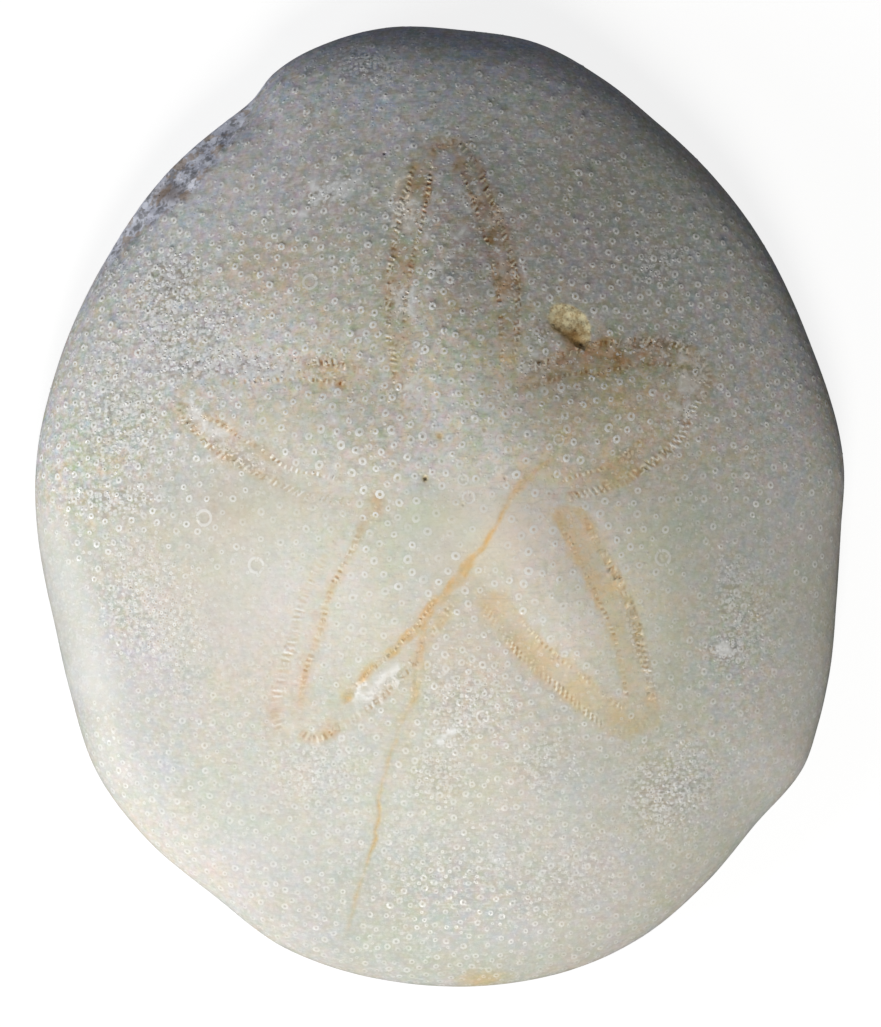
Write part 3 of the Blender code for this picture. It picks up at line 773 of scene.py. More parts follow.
# ---- petal tips, where the two sides meet
for number, (line, ochre, brown, clear) in enumerate(TIPS):
    rib_row(line, lambda q: APEX - q, (clear, clear), 0.0, (1.0, 1.0), 80 + number)

# ---- stained cracks
for points, width, ochre, thin in CRACKS:
    q, across, along = wander(points, 0.3, 0.16)
    end = np.minimum(smooth(0, 0.1, along), 1 - smooth(0.75, 1.0, along))
    for off, high in ((0.0, -0.05), (-0.15, -0.01), (0.15, -0.01), (-0.4, 0.0),
                      (0.4, 0.0), (-0.75, 0.0), (0.75, 0.0)):
        add(UP_POINTS, in_plan(q + across * off), high=high * (0.25 + 0.75 * end))

# ---- small white flecks
for x, y, length, width, bearing in FLECKS:
    a = math.radians(bearing)
    u, v = np.array((math.cos(a), math.sin(a))), np.array((-math.sin(a), math.cos(a)))
    spots = [(0.0, 0.0, 0.03), (0.55, 0.0, 0.02), (-0.55, 0.0, 0.02)]
    spots += [(math.cos(t) * 1.1, math.sin(t) * 1.2, 0.0)
              for t in np.arange(6) * math.pi / 3 + 0.5]
    for f, g, high in spots:
        add(UP_POINTS, in_plan(np.array((x, y)) + u * f * length + v * g * width),
            high=high)

# ---- pit and its sediment: close points
g = np.arange(-0.4, 6.0, 0.19)
gx, gy = np.meshgrid(11.0 + g, 16.3 + g)
grid = np.stack((gx.ravel(), gy.ravel()), 1) + (rng.rand(gx.size, 2) - 0.5) * 0.12
d_pit, _ = to_line(grid, PIT_EDGE)
keep = inside(grid, PIT) | (d_pit < 0.45)
add(UP_POINTS, in_plan(grid[keep]))

# ---- broken rim at the front left: close points
chip_b = rng.uniform(CHIP_FROM - 2, CHIP_TO + 4, 9000)
chip_u = rng.uniform(0.0, 1.0, 9000)
edge_u = UP.size
chip = np.stack((np.cos(np.radians(chip_b)), np.sin(np.radians(chip_b))), 1) \
    * (edge_u - 0.25 - 9.0 * chip_u)[:, None]
CHIP_CANDIDATES = chip


def as_kd(xyz):
    kd = KDTree(len(xyz))
    for k, c in enumerate(xyz):
        kd.insert(c, k)
    kd.balance()
    return kd


def spread(side, candidates, gap, fixed, fixed_gap, limit=None):
    """Candidates, in order, that keep their own gap to each other and
    fixed_gap to the fixed places."""
    place = side.base(candidates)
    kd = as_kd(fixed) if len(fixed) else None
    cell = float(np.max(gap))
    cells, kept = {}, []
    for k in range(len(candidates)):
        x, y, z = place[k]
        if kd is not None and kd.find((x, y, z))[2] < fixed_gap[k]:
            continue
        i, j = int(x // cell), int(y // cell)
        near = gap[k] * gap[k]
        clash = False
        for a in (i - 1, i, i + 1):
            for b in (j - 1, j, j + 1):
                for (u, v, w) in cells.get((a, b), ()):
                    if (u - x) ** 2 + (v - y) ** 2 + (w - z) ** 2 < near:
                        clash = True
                        break
                if clash:
                    break
            if clash:
                break
        if clash:
            continue
        cells.setdefault((i, j), []).append((x, y, z))
        kept.append(k)
        if limit and len(kept) >= limit:
            break
    return np.array(kept, int)


def disc_points(side, count, shrink=0.35):
    r = (side.size - shrink) * np.sqrt(rng.rand(count))
    a = rng.rand(count) * 2 * math.pi
    return np.stack((r * np.cos(a), r * np.sin(a)), 1)


def band_mask(xy, widen=0.0):
    """How far a place is inside a petal's pore band: 1 inside, 0 outside."""
    best = np.zeros(len(xy))
    for middle, half, *_ in BAND_LINES:
        d, w = to_line(xy, middle)
        h = np.interp(w, np.linspace(0, 1, len(half)), half) + widen
        best = np.maximum(best, 1 - smooth(h, h + 0.5, d))
    return best


# inner limit of the broken rim, from the left end to the front
CHIP_LINE = ((-36.4, 23.8), (-35.3, 26.4), (-33.9, 28.6), (-32.3, 29.3),
             (-31.2, 30.7), (-29.4, 32.0), (-27.6, 32.9), (-26.2, 34.2),
             (-25.0, 36.4), (-24.0, 38.0), (-22.4, 39.8), (-20.6, 42.5),
             (-19.6, 44.6))


def chip_mask(side_place):
    """1 on the broken rim."""
    look = seen(side_place) - APEX
    line = np.asarray(CHIP_LINE)
    b = np.degrees(np.arctan2(look[:, 1], look[:, 0]))
    b_line = np.degrees(np.arctan2(line[:, 1] - APEX[1], line[:, 0] - APEX[0]))
    r_line = np.hypot(line[:, 0] - APEX[0], line[:, 1] - APEX[1])
    r_in = np.interp(-b, -b_line, r_line)
    out = np.hypot(look[:, 0], look[:, 1]) - r_in
    ragged = 0.45 * noise(side_place, 1.6, 9, 2)
    ends = smooth(114.0, 119.0, b) * (1 - smooth(149.0, 152.5, b))
    return ends * smooth(-0.15, 0.25, out + ragged)


WORN = ((-46.0, 1.5), (-42.3, 0.4), (-40.6, -1.3), (-38.2, -5.6),
        (-36.5, -9.5), (-35.3, -13.5), (-33.9, -18.5), (-33.5, -21.5),
        (-46.0, -21.5))


def worn_mask(xy):
    """1 on the smooth white worn edge at the left."""
    d, _ = to_line(xy, np.vstack((WORN, WORN[:1])))
    d = np.where(inside(xy, WORN), d, -d)
    return smooth(-1.2, 2.2, d)


def roughness_at(xy):
    """How scuffed and grainy the surface is, by region."""
    rough = np.zeros(len(xy))
    for s in SCUFFS:
        rough = np.maximum(rough, s[5] * blob(xy, *s[:5]))
    return rough


SMOOTH_ZONES = ((-21.5, -8.5, 8.0, 11.5, 0), (26.0, -5.0, 4.2, 8.0, 0),
                (4.3, -0.6, 8.0, 4.0, 0), (12.5, -29.0, 3.5, 4.5, 0))


def busy_at(xy):
    """How lively the surface is, from 0 to 1: more to the front, where less
    is worn off, and on some patches; least on the worn left and middle."""
    x, y = xy[:, 0], xy[:, 1]
    busy = 0.26 + 0.36 * smooth(-3, 9, y) + 0.16 * smooth(34, 48, y)
    for zone, amount in (((-38.0, 3.0, 6.0, 9.0, 0), 0.35), ((2.0, -42.0, 9.0, 5.0, 0), 0.3),
                         ((2.0, 27.0, 9.0, 13.0, 0), 0.30), ((-30.0, 22.0, 7.0, 7.0, 0), 0.2),
                         ((20.0, 16.0, 9.0, 4.0, 10), 0.30), ((30.5, -15.0, 3.5, 6.0, 0), 0.25),
                         ((27.0, -28.0, 6.0, 5.0, 40), 0.2), ((5.0, -22.0, 6.0, 5.0, 0), 0.15),
                         ((-35.0, -12.0, 4.0, 6.0, 20), 0.3), ((-33.0, 14.0, 4.0, 5.0, 0), -0.1),
                         ((-20.0, 4.0, 11.0, 7.0, 0), -0.25), ((3.0, -2.0, 9.0, 7.0, 0), -0.22),
                         ((-21.5, -9.0, 8.0, 12.0, 0), -0.14), ((-20.0, -35.0, 9.0, 6.0, -40), -0.08),
                         ((33.0, -10.0, 6.0, 14.0, 0), 0.14), ((-17.0, 9.5, 6.0, 4.0, 0), -0.15),
                         ((-9.0, -12.0, 4.0, 7.0, 0), -0.08), ((1.0, 30.0, 4.0, 7.0, 0), 0.12),
                         ((33.0, -18.0, 5.0, 9.0, 0), 0.12)):
        busy = busy + amount * blob(xy, *zone)
    return np.clip(busy, 0.08, 1.0)


def ring_gap(xy):
    """Distance between neighbouring tubercles, by region."""
    x, y = xy[:, 0], xy[:, 1]
    gap = np.full(len(xy), 1.36) - 0.20 * smooth(6, 14, y)
    smoother = np.zeros(len(xy))
    for zone in SMOOTH_ZONES:
        smoother = np.maximum(smoother, blob(xy, *zone))
    gap = gap + 0.35 * smoother
    left = smooth(16, 26, -x) * smooth(-8, 0, y) * (1 - smooth(26, 32, y))
    gap = gap - 0.16 * left
    gap = gap - 0.14 * smooth(8, 18, -y) * (1 - smooth(16, 26, np.abs(x - 2)))
    gap = gap - 0.10 * smooth(20, 30, -y)
    gap = gap + 0.30 * smooth(30, 40, y)
    for bearing, reach, half in PETALS:
        a = math.radians(bearing)
        dx, dy = x - APEX[0], y - APEX[1]
        u = (dx * math.cos(a) + dy * math.sin(a)) / reach
        v = np.abs(dy * math.cos(a) - dx * math.sin(a)) / (half * 0.8)
        petal = smooth(0.2, 0.35, u) * (1 - smooth(0.9, 1.0, u)) * (1 - smooth(0.7, 1.0, v))
        gap = gap + 0.22 * petal
    return np.maximum(gap, 1.08)


def ring_force(xy):
    """How clear the tubercles are, by region."""
    x, y = xy[:, 0], xy[:, 1]
    r = np.hypot(x - APEX[0], y - APEX[1])
    force = np.full(len(xy), 1.0) + 0.15 * smooth(4, 14, y)
    for zone in SMOOTH_ZONES:
        force = force - 0.3 * blob(xy, *zone)
    force = force + 0.25 * (1 - smooth(10, 24, r))
    force = force + 0.25 * smooth(16, 24, -x) * smooth(-6, 2, y) * (1 - smooth(28, 34, y))
    force = force - 0.3 * smooth(28, 38, y) - 0.2 * smooth(26, 36, x)
    force = force - 0.25 * smooth(-4, -10, y) * smooth(8, 16, -x) * (1 - smooth(-22, -30, y))
    force = force - 0.15 * smooth(-22, -32, y)
    return force


# ---- tubercles of the upper side
def crown(side, store, centres, radius, clear, tint, turns, rings, uneven, broken,
          tall=1.0):
    """A worn tubercle made of rings of points with their own height and mark: on the upper side a low
    ring wall round a dimple, below a low boss in a shallow ring groove.
    The wall is clearer on one side and partly broken off."""
    n = len(centres)
    tall = np.broadcast_to(tall, (n,))
    start = rng.rand(n) * math.pi
    strong = rng.rand(n) * 2 * math.pi
    uneven = rng.rand(n) * uneven
    for share, high, ring in rings:
        if share == 0.0:
            add(store, centres, high=high * clear * tall, ring=ring, clear=clear,
                tint=tint)
            continue
        a = np.arange(turns) * 2 * math.pi / turns + start[:, None]
        own = clear[:, None] * np.maximum(0, 1 - uneven[:, None] * (
            0.5 + 0.5 * np.cos(a - strong[:, None])))
        own = own * np.clip(np.exp(broken[:, None] * rng.randn(n, turns) * 0.75
                                   - 0.2 * broken[:, None] ** 2), 0.08, 2.4)
        wobble = 1 + 0.07 * np.cos(2 * a + strong[:, None] * 3)
        off = np.stack((np.cos(a), np.sin(a)), 2) \
            * (radius[:, None] * share * wobble)[:, :, None]
        p = side.around(centres, off).reshape(-1, 2)
        add(store, p, high=(high * own * tall[:, None]).ravel(), ring=ring,
            clear=own.ravel(), tint=np.repeat(tint, turns))


feature_place = UP.base(np.vstack([r[:, :2] for r in UP_POINTS]))
candidates = disc_points(UP, 60000, shrink=0.75)
place = UP.base(candidates)
xy = seen(place)
taken = band_mask(xy, 0.15)
crack_d = np.min([to_line(xy, line)[0] for line, *_ in CRACK_LINES], axis=0)
depth, in_pit = pit_depth(xy)
chipped = chip_mask(place)
worn = worn_mask(xy)
scuffed = roughness_at(xy)
chance = rng.rand(len(xy))
ok = (taken < 0.5) & (crack_d > 0.5) & (in_pit < 0.1) & (chipped < 0.2) \
    & (chance > 0.9 * worn) & (chance > 0.3 * scuffed)
for x, y, r in SCARS:
    ok &= np.hypot(xy[:, 0] - x, xy[:, 1] - y) > r + 0.6
for x, y, r, *_ in GONOPORES:
    ok &= np.hypot(xy[:, 0] - x, xy[:, 1] - y) > r + 0.5
candidates, place, xy = candidates[ok], place[ok], xy[ok]
gap = ring_gap(xy) * rng.uniform(0.85, 1.2, len(xy))
gap = np.maximum(gap, 1.0)
kept = spread(UP, candidates, gap, feature_place, np.full(len(gap), 0.4))
centres, xy = candidates[kept], xy[kept]
r_apex = np.hypot(xy[:, 0] - APEX[0], xy[:, 1] - APEX[1])
size = (0.31 + 0.19 * rng.rand(len(kept)) ** 0.9) * (1.20 - 0.20 * smooth(12, 30, r_apex))
size = np.minimum(size, gap[kept] * 0.46)
clear = 0.30 + 0.85 * rng.rand(len(kept)) ** 1.4
back = smooth(-2, -14, xy[:, 1])
clear = clear * (1 - back) + (0.42 + 0.22 * (clear - 0.30)) * back
clear = np.clip(clear * ring_force(xy), 0.08, 1.3)
clear *= 1 - 0.55 * worn_mask(xy)
clear *= 0.80 + 0.55 * busy_at(xy)
tint = rng.rand(len(kept))
broken = np.clip(2.1 * busy_at(xy) - 0.25, 0.1, 1.5)
tall = 1.0 + 0.25 * smooth(2, 24, xy[:, 1])
good = clear > 0.40
crown(UP, UP_POINTS, centres[good], size[good], clear[good], tint[good], 8,
      ((0.0, -0.018, 2.0), (0.60, 0.034, 1.0), (1.0, 0.0, 0.0)), 0.7, broken[good],
      tall[good])
bad = ~good
crown(UP, UP_POINTS, centres[bad], size[bad], clear[bad], tint[bad], 6,
      ((0.0, -0.018, 2.0), (0.60, 0.034, 1.0), (1.0, 0.0, 0.0)), 1.1, broken[bad],
      tall[bad])
RINGS_UP = len(kept)

# ---- small tubercles crowded on the grainy patches, a few elsewhere
fixed = UP.base(np.vstack([r[:, :2] for r in UP_POINTS]))
candidates = disc_points(UP, 52000, shrink=0.75)
place = UP.base(candidates)
xy = seen(place)
stipple = blob(xy, -30.5, -11.0, 9.5, 5.0, -65)
rough = np.maximum(roughness_at(xy), 0.8 * stipple)
ok = (rng.rand(len(xy)) < 0.10 + 1.6 * rough) & (chip_mask(place) < 0.2) \
    & (pit_depth(xy)[1] < 0.1) & (worn_mask(xy) < 0.5)
candidates, xy, rough, stipple = candidates[ok], xy[ok], rough[ok], stipple[ok]
kept = spread(UP, candidates, np.full(len(xy), 0.56), fixed, np.full(len(xy), 0.31),
              limit=2600)
size = rng.uniform(0.17, 0.24, len(kept))
clear = rng.uniform(0.35, 1.1, len(kept)) * (0.65 + 0.55 * rough[kept])
clear *= 0.55 + 0.75 * busy_at(xy[kept])
crown(UP, UP_POINTS, candidates[kept], size, clear, rng.rand(len(kept)), 5,
      ((0.0, -0.022, 1.8), (1.3, 0.0, 0.0)), 0.9,
      np.clip(1.5 * busy_at(xy[kept]) - 0.25, 0.1, 1.0))
RINGS_SMALL = len(kept)

# ---- large ring scars and genital pores
for x, y, r in SCARS:
    c = in_plan((x, y))
    add(UP_POINTS, c, high=-0.012, ring=0.16, clear=0.3, tint=0.5)
    for share, high, ring in ((0.35, -0.012, 0.16), (0.62, -0.01, 0.16),
                              (0.84, 0.022, 1.0), (1.06, 0.0, 0.0)):
        a = np.arange(16) * math.pi / 8 + share
        off = np.stack((np.cos(a), np.sin(a)), 1)[None] * r * share
        add(UP_POINTS, UP.around(c, off)[0], high=high, ring=ring, clear=0.62,
            tint=0.5)
for x, y, r, ochre, dark in GONOPORES:
    c = in_plan((x, y))
    add(UP_POINTS, c, high=-0.22 * dark)
    for share, high in ((0.4, -0.18), (0.75, -0.04), (1.0, 0.0), (1.5, 0.0)):
        a = np.arange(9) * math.pi * 2 / 9 + share
        off = np.stack((np.cos(a), np.sin(a)), 1)[None] * r * share
        add(UP_POINTS, UP.around(c, off)[0], high=high * dark)

# ---- broken rim
place = UP.base(CHIP_CANDIDATES)
near = chip_mask(place) > 0.02
CHIP_CANDIDATES, place = CHIP_CANDIDATES[near], place[near]
fixed = UP.base(np.vstack([r[:, :2] for r in UP_POINTS]))
gaps = np.full(len(place), 0.26)
kept = spread(UP, CHIP_CANDIDATES, gaps, fixed, np.full(len(place), 0.2))
add(UP_POINTS, CHIP_CANDIDATES[kept])

# ---- plain surface between the features
fixed = UP.base(np.vstack([r[:, :2] for r in UP_POINTS]))
candidates = disc_points(UP, 60000, shrink=0.3)
place = UP.base(candidates)
xy = seen(place)
rough = np.maximum(roughness_at(xy), blob(xy, -30.5, -11.0, 9.5, 5.0, -65) * 0.8)
stain = band_mask(xy, 0.2)
for s in STAINS + SMUDGES:
    if s[5] > 0.35:
        stain = np.maximum(stain, blob(xy, *s[:5]))
gap = 1.15 - 0.50 * np.maximum(smooth(0.3, 0.9, rough), stain)
kept = spread(UP, candidates, gap, fixed, 0.42 - 0.10 * smooth(0.3, 0.9, rough))
add(UP_POINTS, candidates[kept])

# ============================================================== oral side
def mouth_edge(a):
    """Radius of the rounded five-sided mouth at angle a."""
    return MOUTH_RADIUS * (1 + 0.07 * np.cos(5 * (a - math.pi / 2)))


# close rings of points down the mouth's wall, and round the vent
for share, count in ((0.25, 8), (0.5, 16), (0.7, 24), (0.82, 34), (0.9, 40),
                     (0.97, 44), (1.03, 48), (1.1, 48), (1.2, 48), (1.35, 48)):
    a = np.arange(count) * 2 * math.pi / count + share * 3
    add(DOWN_POINTS, DOWN.chart(np.stack((np.cos(a), np.sin(a)), 1)
                                * (mouth_edge(a) * share)[:, None]))
for share, count in ((0.0, 1), (0.45, 7), (0.75, 12), (0.9, 16), (1.05, 18),
                     (1.25, 18), (1.5, 18)):
    a = np.arange(count) * 2 * math.pi / count + share
    add(DOWN_POINTS, DOWN.chart(VENT + np.stack((np.cos(a), np.sin(a)), 1)
                                * VENT_RADIUS * share))
# food grooves
groove_lines = []
for bearing, _, _ in PETALS:
    a = math.radians(bearing)
    s = np.arange(MOUTH_RADIUS * 1.45, GROOVE_REACH, 0.8)
    wander = 0.35 * np.sin(s * 0.23 + bearing)
    for off in (0.0, 0.45, -0.45, 1.0, -1.0, 1.5, -1.5):
        line = np.stack((s * math.cos(a) - (off) * math.sin(a),
                         s * math.sin(a) + (off) * math.cos(a)), 1)
        add(DOWN_POINTS, DOWN.chart(line))
fixed = DOWN.base(np.vstack([r[:, :2] for r in DOWN_POINTS]))
candidates = disc_points(DOWN, 26000, shrink=0.75)
place = DOWN.base(candidates)
gap = 1.95 + 0.5 * smooth(10, 4, np.hypot(place[:, 0], place[:, 1])) \
    - 0.25 * smooth(34, 42, np.hypot(place[:, 0], place[:, 1]))
gap = gap * rng.uniform(0.85, 1.2, len(gap))
kept = spread(DOWN, candidates, gap, fixed, np.full(len(gap), 0.6))
centres = candidates[kept]
size = rng.uniform(0.5, 0.64, len(kept))
clear = rng.uniform(0.45, 0.9, len(kept))
crown(DOWN, DOWN_POINTS, centres, size, clear, rng.rand(len(kept)), 6,
      ((0.0, 0.05, 1.8), (0.62, -0.06, 1.0), (1.0, 0.0, 0.0)), 0.2,
      np.full(len(kept), 0.1))
RINGS_DOWN = len(kept)
fixed = DOWN.base(np.vstack([r[:, :2] for r in DOWN_POINTS]))
candidates = disc_points(DOWN, 30000, shrink=0.3)
kept = spread(DOWN, candidates, np.full(len(candidates), 1.1), fixed,
              np.full(len(candidates), 0.52))
add(DOWN_POINTS, candidates[kept])

# ======================================================= joining the two sides
EDGE = 620
edge_a = np.arange(EDGE) * 2 * math.pi / EDGE
edge_unit = np.stack((np.cos(edge_a), np.sin(edge_a)), 1)


def triangulate(points):
    out = delaunay_2d_cdt([Vector(p) for p in points], [], [], 0, 1e-7, True)
    verts, _, faces, orig = out[0], out[1], out[2], out[3]
    first = np.array([o[0] for o in orig])
    tri = np.array([f for f in faces], int)
    tri = first[tri]
    a, b, c = points[tri[:, 0]], points[tri[:, 1]], points[tri[:, 2]]
    area = (b[:, 0] - a[:, 0]) * (c[:, 1] - a[:, 1]) \
        - (c[:, 0] - a[:, 0]) * (b[:, 1] - a[:, 1])
    tri[area < 0] = tri[area < 0][:, ::-1]
    return tri


up = np.vstack(UP_POINTS)
down = np.vstack(DOWN_POINTS)
up = up[np.hypot(up[:, 0], up[:, 1]) < UP.size - 0.12]
down = down[np.hypot(down[:, 0], down[:, 1]) < DOWN.size - 0.12]
up_chart = np.vstack((edge_unit * UP.size, up[:, :2]))
down_chart = np.vstack((edge_unit * DOWN.size, down[:, :2]))
tri_up = triangulate(up_chart)
tri_down = triangulate(down_chart)[:, ::-1]
tri_down = np.where(tri_down < EDGE, tri_down, tri_down + len(up))
triangles = np.vstack((tri_up, tri_down))

# ---- places
base_up = UP.base(up_chart)
base_down = DOWN.base(down_chart)
n_up = UP.normal(up_chart * np.minimum(1.0, (UP.size - 0.06) / np.maximum(
    np.hypot(up_chart[:, 0], up_chart[:, 1]), 1e-9))[:, None])
n_down = -DOWN.normal(down_chart * np.minimum(1.0, (DOWN.size - 0.06) / np.maximum(
    np.hypot(down_chart[:, 0], down_chart[:, 1]), 1e-9))[:, None])
n_up[:EDGE] = n_up[:EDGE] + n_down[:EDGE]
n_up[:EDGE, 2] = 0
n_up[:EDGE] /= np.linalg.norm(n_up[:EDGE], axis=1)[:, None]

xyz = np.vstack((base_up, base_down[EDGE:]))
nrm = np.vstack((n_up, n_down[EDGE:]))
marks = np.vstack((np.zeros((EDGE, 7)), up, down))
upper = np.arange(len(xyz)) < EDGE + len(up)
plan = seen(xyz)
high = marks[:, 2].copy()
ring, ring_clear, rib, ring_tint = (marks[:, k].copy() for k in (3, 4, 5, 6))

# ---- marks that follow the place
r_apex = np.hypot(xyz[:, 0], xyz[:, 1])
chip_m = np.where(xyz[:, 2] > 3.5, chip_mask(xyz), 0.0)
depth, in_pit = pit_depth(plan)
depth, in_pit = depth * upper, in_pit * upper
ochre_m, brown_m, rust_m = (np.zeros(len(xyz)) for _ in range(3))
patchy = np.clip(0.95 + 0.50 * noise(xyz, 2.1, 3, 1), 0.35, 1.4)
patchy_brown = np.clip(0.95 + 0.85 * noise(xyz, 1.8, 33, 1), 0.1, 1.6)
band_m = np.zeros(len(xyz))
for (middle, half, stain_line, spread_to, ochre, brown, outer_line, inner_line,
     between, name) in BAND_LINES:
    d, w = to_line(plan, stain_line)
    h = np.interp(w, np.linspace(0, 1, len(half)), spread_to)
    h = h + 0.25 * noise(xyz, 1.3, 31)
    band = between * (1 - smooth(h - 0.25, h + 0.45, d))
    d_out, _ = to_line(plan, outer_line)
    d_in, _ = to_line(plan, inner_line)
    rows = np.maximum(FAINT.get(name, 1.0) * (1 - smooth(0.25, 0.95, d_out)),
                      1 - smooth(0.15, 0.7, d_in))
    band = np.maximum(band, rows)
    fifths = np.linspace(0.1, 0.9, 5)
    ochre_m = np.maximum(ochre_m, np.interp(w, fifths, ochre) * band * patchy)
    brown_m = np.maximum(brown_m, 0.6 * np.interp(w, fifths, brown) * band
                         * patchy_brown)
    d, w = to_line(plan, middle)
    h = np.interp(w, np.linspace(0, 1, len(half)), half)
    band_m = np.maximum(band_m, 1 - smooth(h + 0.1, h + 0.7, d))
for line, ochre, brown, clear in TIPS:
    d, w = to_line(plan, dense(line, 0.5)[0])
    band = 1 - smooth(0.25, 0.95, d + 0.25 * noise(xyz, 1.1, 32))
    ochre_m = np.maximum(ochre_m, ochre * band * patchy)
    brown_m = np.maximum(brown_m, 0.6 * brown * band * patchy_brown)
    band_m = np.maximum(band_m, 0.7 * (1 - smooth(0.4, 1.1, d)))
for line, width, ochre, thin in CRACK_LINES:
    d, w = to_line(plan, line)

    def down(values):
        return np.interp(w, np.linspace(0, 1, len(values)), values)

    vary = np.clip(1.0 + 0.65 * noise(xyz, 1.1, 8, 2), 0.45, 1.4)
    rust_m = np.maximum(rust_m, down(thin) * (1 - smooth(0.02, 0.20, d))
                        * np.clip(1.0 + 0.5 * noise(xyz, 0.9, 28), 0.4, 1.2))
    half = down(width) * (1 + 0.3 * noise(xyz, 1.2, 18))
    smudge = 1 - smooth(half * 0.45, half * 1.4, d)
    rust_m = np.maximum(rust_m, 0.62 * down(ochre) * vary * smudge)
    halo = 0.3 * (1 - smooth(0.2, 1.3 + 0.4 * noise(xyz, 2.0, 19), d))
    ochre_m = np.maximum(ochre_m, down(ochre) * np.maximum(smudge * vary, halo))
for x, y, length, width, bearing, strength in STAINS:
    ochre_m = np.maximum(ochre_m, strength * blob(plan, x, y, length, width, bearing)
                         * patchy)
for x, y, length, width, bearing, strength in SMUDGES:
    brown_m = np.maximum(brown_m, 0.75 * strength
                         * blob(plan, x, y, length, width, bearing) * patchy_brown)
dark_m = np.zeros(len(xyz))
for x, y, r, ochre, dark in GONOPORES:
    d = np.hypot(plan[:, 0] - x, plan[:, 1] - y)
    ochre_m = np.maximum(ochre_m, ochre * bump(d / (r * 2.0)))
    rust_m = np.maximum(rust_m, 0.5 * ochre * bump(d / (r * 1.2)))
    dark_m = np.maximum(dark_m, dark * bump(d / (r * 0.9)))
# painted shade in the pit: dark spots in its deep lower right corner and along its left and lower left
# wall
for x, y, r, dark in ((15.3, 17.6, 0.32, 0.75), (14.9, 17.9, 0.25, 0.6),
                      (15.5, 17.0, 0.28, 0.6), (14.5, 17.6, 0.25, 0.45),
                      (15.0, 17.2, 0.25, 0.55), (15.9, 17.3, 0.22, 0.4),
                      (12.1, 21.7, 0.25, 0.4), (11.6, 20.0, 0.3, 0.4),
                      (12.2, 19.6, 0.35, 0.5), (13.0, 18.9, 0.3, 0.35),
                      (14.2, 18.4, 0.25, 0.3)):
    d = np.hypot(plan[:, 0] - x, plan[:, 1] - y)
    dark_m = np.maximum(dark_m, dark * bump(d / r))
ochre_m, brown_m, rust_m, dark_m = (np.clip(m * upper, 0, 1) for m in
                                    (ochre_m, brown_m, rust_m, dark_m))
scuff_m = roughness_at(plan) * upper
stipple_m = blob(plan, -30.5, -11.0, 9.5, 5.0, -65) * upper
# painted light and shade over broad soft areas, with some own paler and greyer tone
painted_shade_m = np.exp(sum(zone[5] * blob(plan, *zone[:5]) for zone in PAINTED_SHADES) * upper)
pink_m = np.exp(sum(zone[5] * blob(plan, *zone[:5]) for zone in TINTS) * upper)
blue_m = np.exp(sum(zone[6] * blob(plan, *zone[:5]) for zone in TINTS) * upper)
chalk_m = np.zeros(len(xyz))
for zone in CHALK:
    chalk_m = np.maximum(chalk_m, upper * zone[5] * blob(plan, *zone[:5]))
worn_m = 0.34 * worn_mask(plan) * smooth(2.0, 3.5, xyz[:, 2])
for x, y, length, width, bearing in FLECKS:
    worn_m = np.maximum(worn_m, upper * smooth(
        0.04, 0.36, blob(plan, x, y, length * 1.2, width * 1.25, bearing))
        * (0.9 if length < 0.7 or width > 0.4 else 0.7))
# warmer round the apex; cooler to the rim and most at the front left, which is painted cool skylight on
# the sides turned from the lamps
turn = np.degrees(np.arctan2(xyz[:, 1], xyz[:, 0]))
rho = r_apex / rim_radius(turn)
warm_m = 1 - smooth(0.25, 0.9, rho)
cool_light_m = smooth(0.45, 0.95, rho) * bump((turn - 112.0) / 62.0) \
    + 0.3 * smooth(0.8, 1.0, rho) * smooth(-20, 60, turn)
tone_m = np.clip(0.5 + 0.5 * (cool_light_m - warm_m) * upper, 0, 1)

# the mouth, the vent and their sediment
a = np.arctan2(xyz[:, 1], xyz[:, 0])
mouth = (1 - smooth(0.84, 1.04, r_apex / mouth_edge(a))) * ~upper
vent = (1 - smooth(0.72, 1.08, np.hypot(xyz[:, 0] - VENT[0], xyz[:, 1] - VENT[1])
                   / VENT_RADIUS)) * ~upper
sediment = np.maximum(np.maximum(mouth, vent), in_pit)
high = high * (1 - np.maximum(chip_m, sediment))
high -= depth
high -= MOUTH_DEPTH * mouth * (1 - 0.25 * noise(xyz, 1.5, 21, 3))
high -= VENT_DEPTH * vent

# ---- fine relief of the surface itself
high += 0.022 * noise(xyz, 6.0, 1, 2) * (1 - sediment)
high += 0.006 * noise(xyz, 1.3, 2, 2)
high += scuff_m * 0.030 * (noise(xyz, 0.75, 6, 2) - 0.2)
high += stipple_m * 0.02 * (noise(xyz, 0.8, 7, 1) - 0.3)
edge_calm = 1 - 0.85 * smooth(0.975, 0.998, r_apex / rim_radius(np.degrees(a)))
high -= chip_m * edge_calm * (0.12 + 0.22 * noise(xyz, 0.8, 11, 3)
                              + 0.16 * np.abs(noise(xyz, 1.7, 12, 1)))
high += in_pit * 0.13 * noise(xyz * (1.0, 1.6, 1.0), 1.1, 13, 3)

flat = ~upper & (r_apex / rim_radius(np.degrees(a)) < SHOULDER_IN)
points = xyz + nrm * (high - INSET)[:, None]
points[:, :2] += APEX
points *= MM
lo, hi = np.array(cad_box[0]), np.array(cad_box[1])
points = np.clip(points, lo + 1e-6, hi - 1e-6)

mesh = bpy.data.meshes.new("test_skin")
mesh.vertices.add(len(points))
mesh.vertices.foreach_set("co", points.astype(np.float32).ravel())
mesh.loops.add(len(triangles) * 3)
mesh.loops.foreach_set("vertex_index", triangles.astype(np.int32).ravel())
mesh.polygons.add(len(triangles))
mesh.polygons.foreach_set("loop_start", np.arange(len(triangles), dtype=np.int32) * 3)
mesh.update(calc_edges=True)
mesh.validate()
mesh.shade_smooth()


def paint(name, r, g, b):
    layer = mesh.attributes.new(name, 'FLOAT_COLOR', 'POINT')
    rgba = np.ones((len(points), 4), np.float32)
    rgba[:, 0], rgba[:, 1], rgba[:, 2] = r, g, b
    layer.data.foreach_set("color", rgba.ravel())


# painted shade of the darkest hollows of the broken rim
hollow_shade = bump(np.hypot((plan[:, 0] + 29.2) / 2.4, (plan[:, 1] - 33.9) / 1.6)) * chip_m

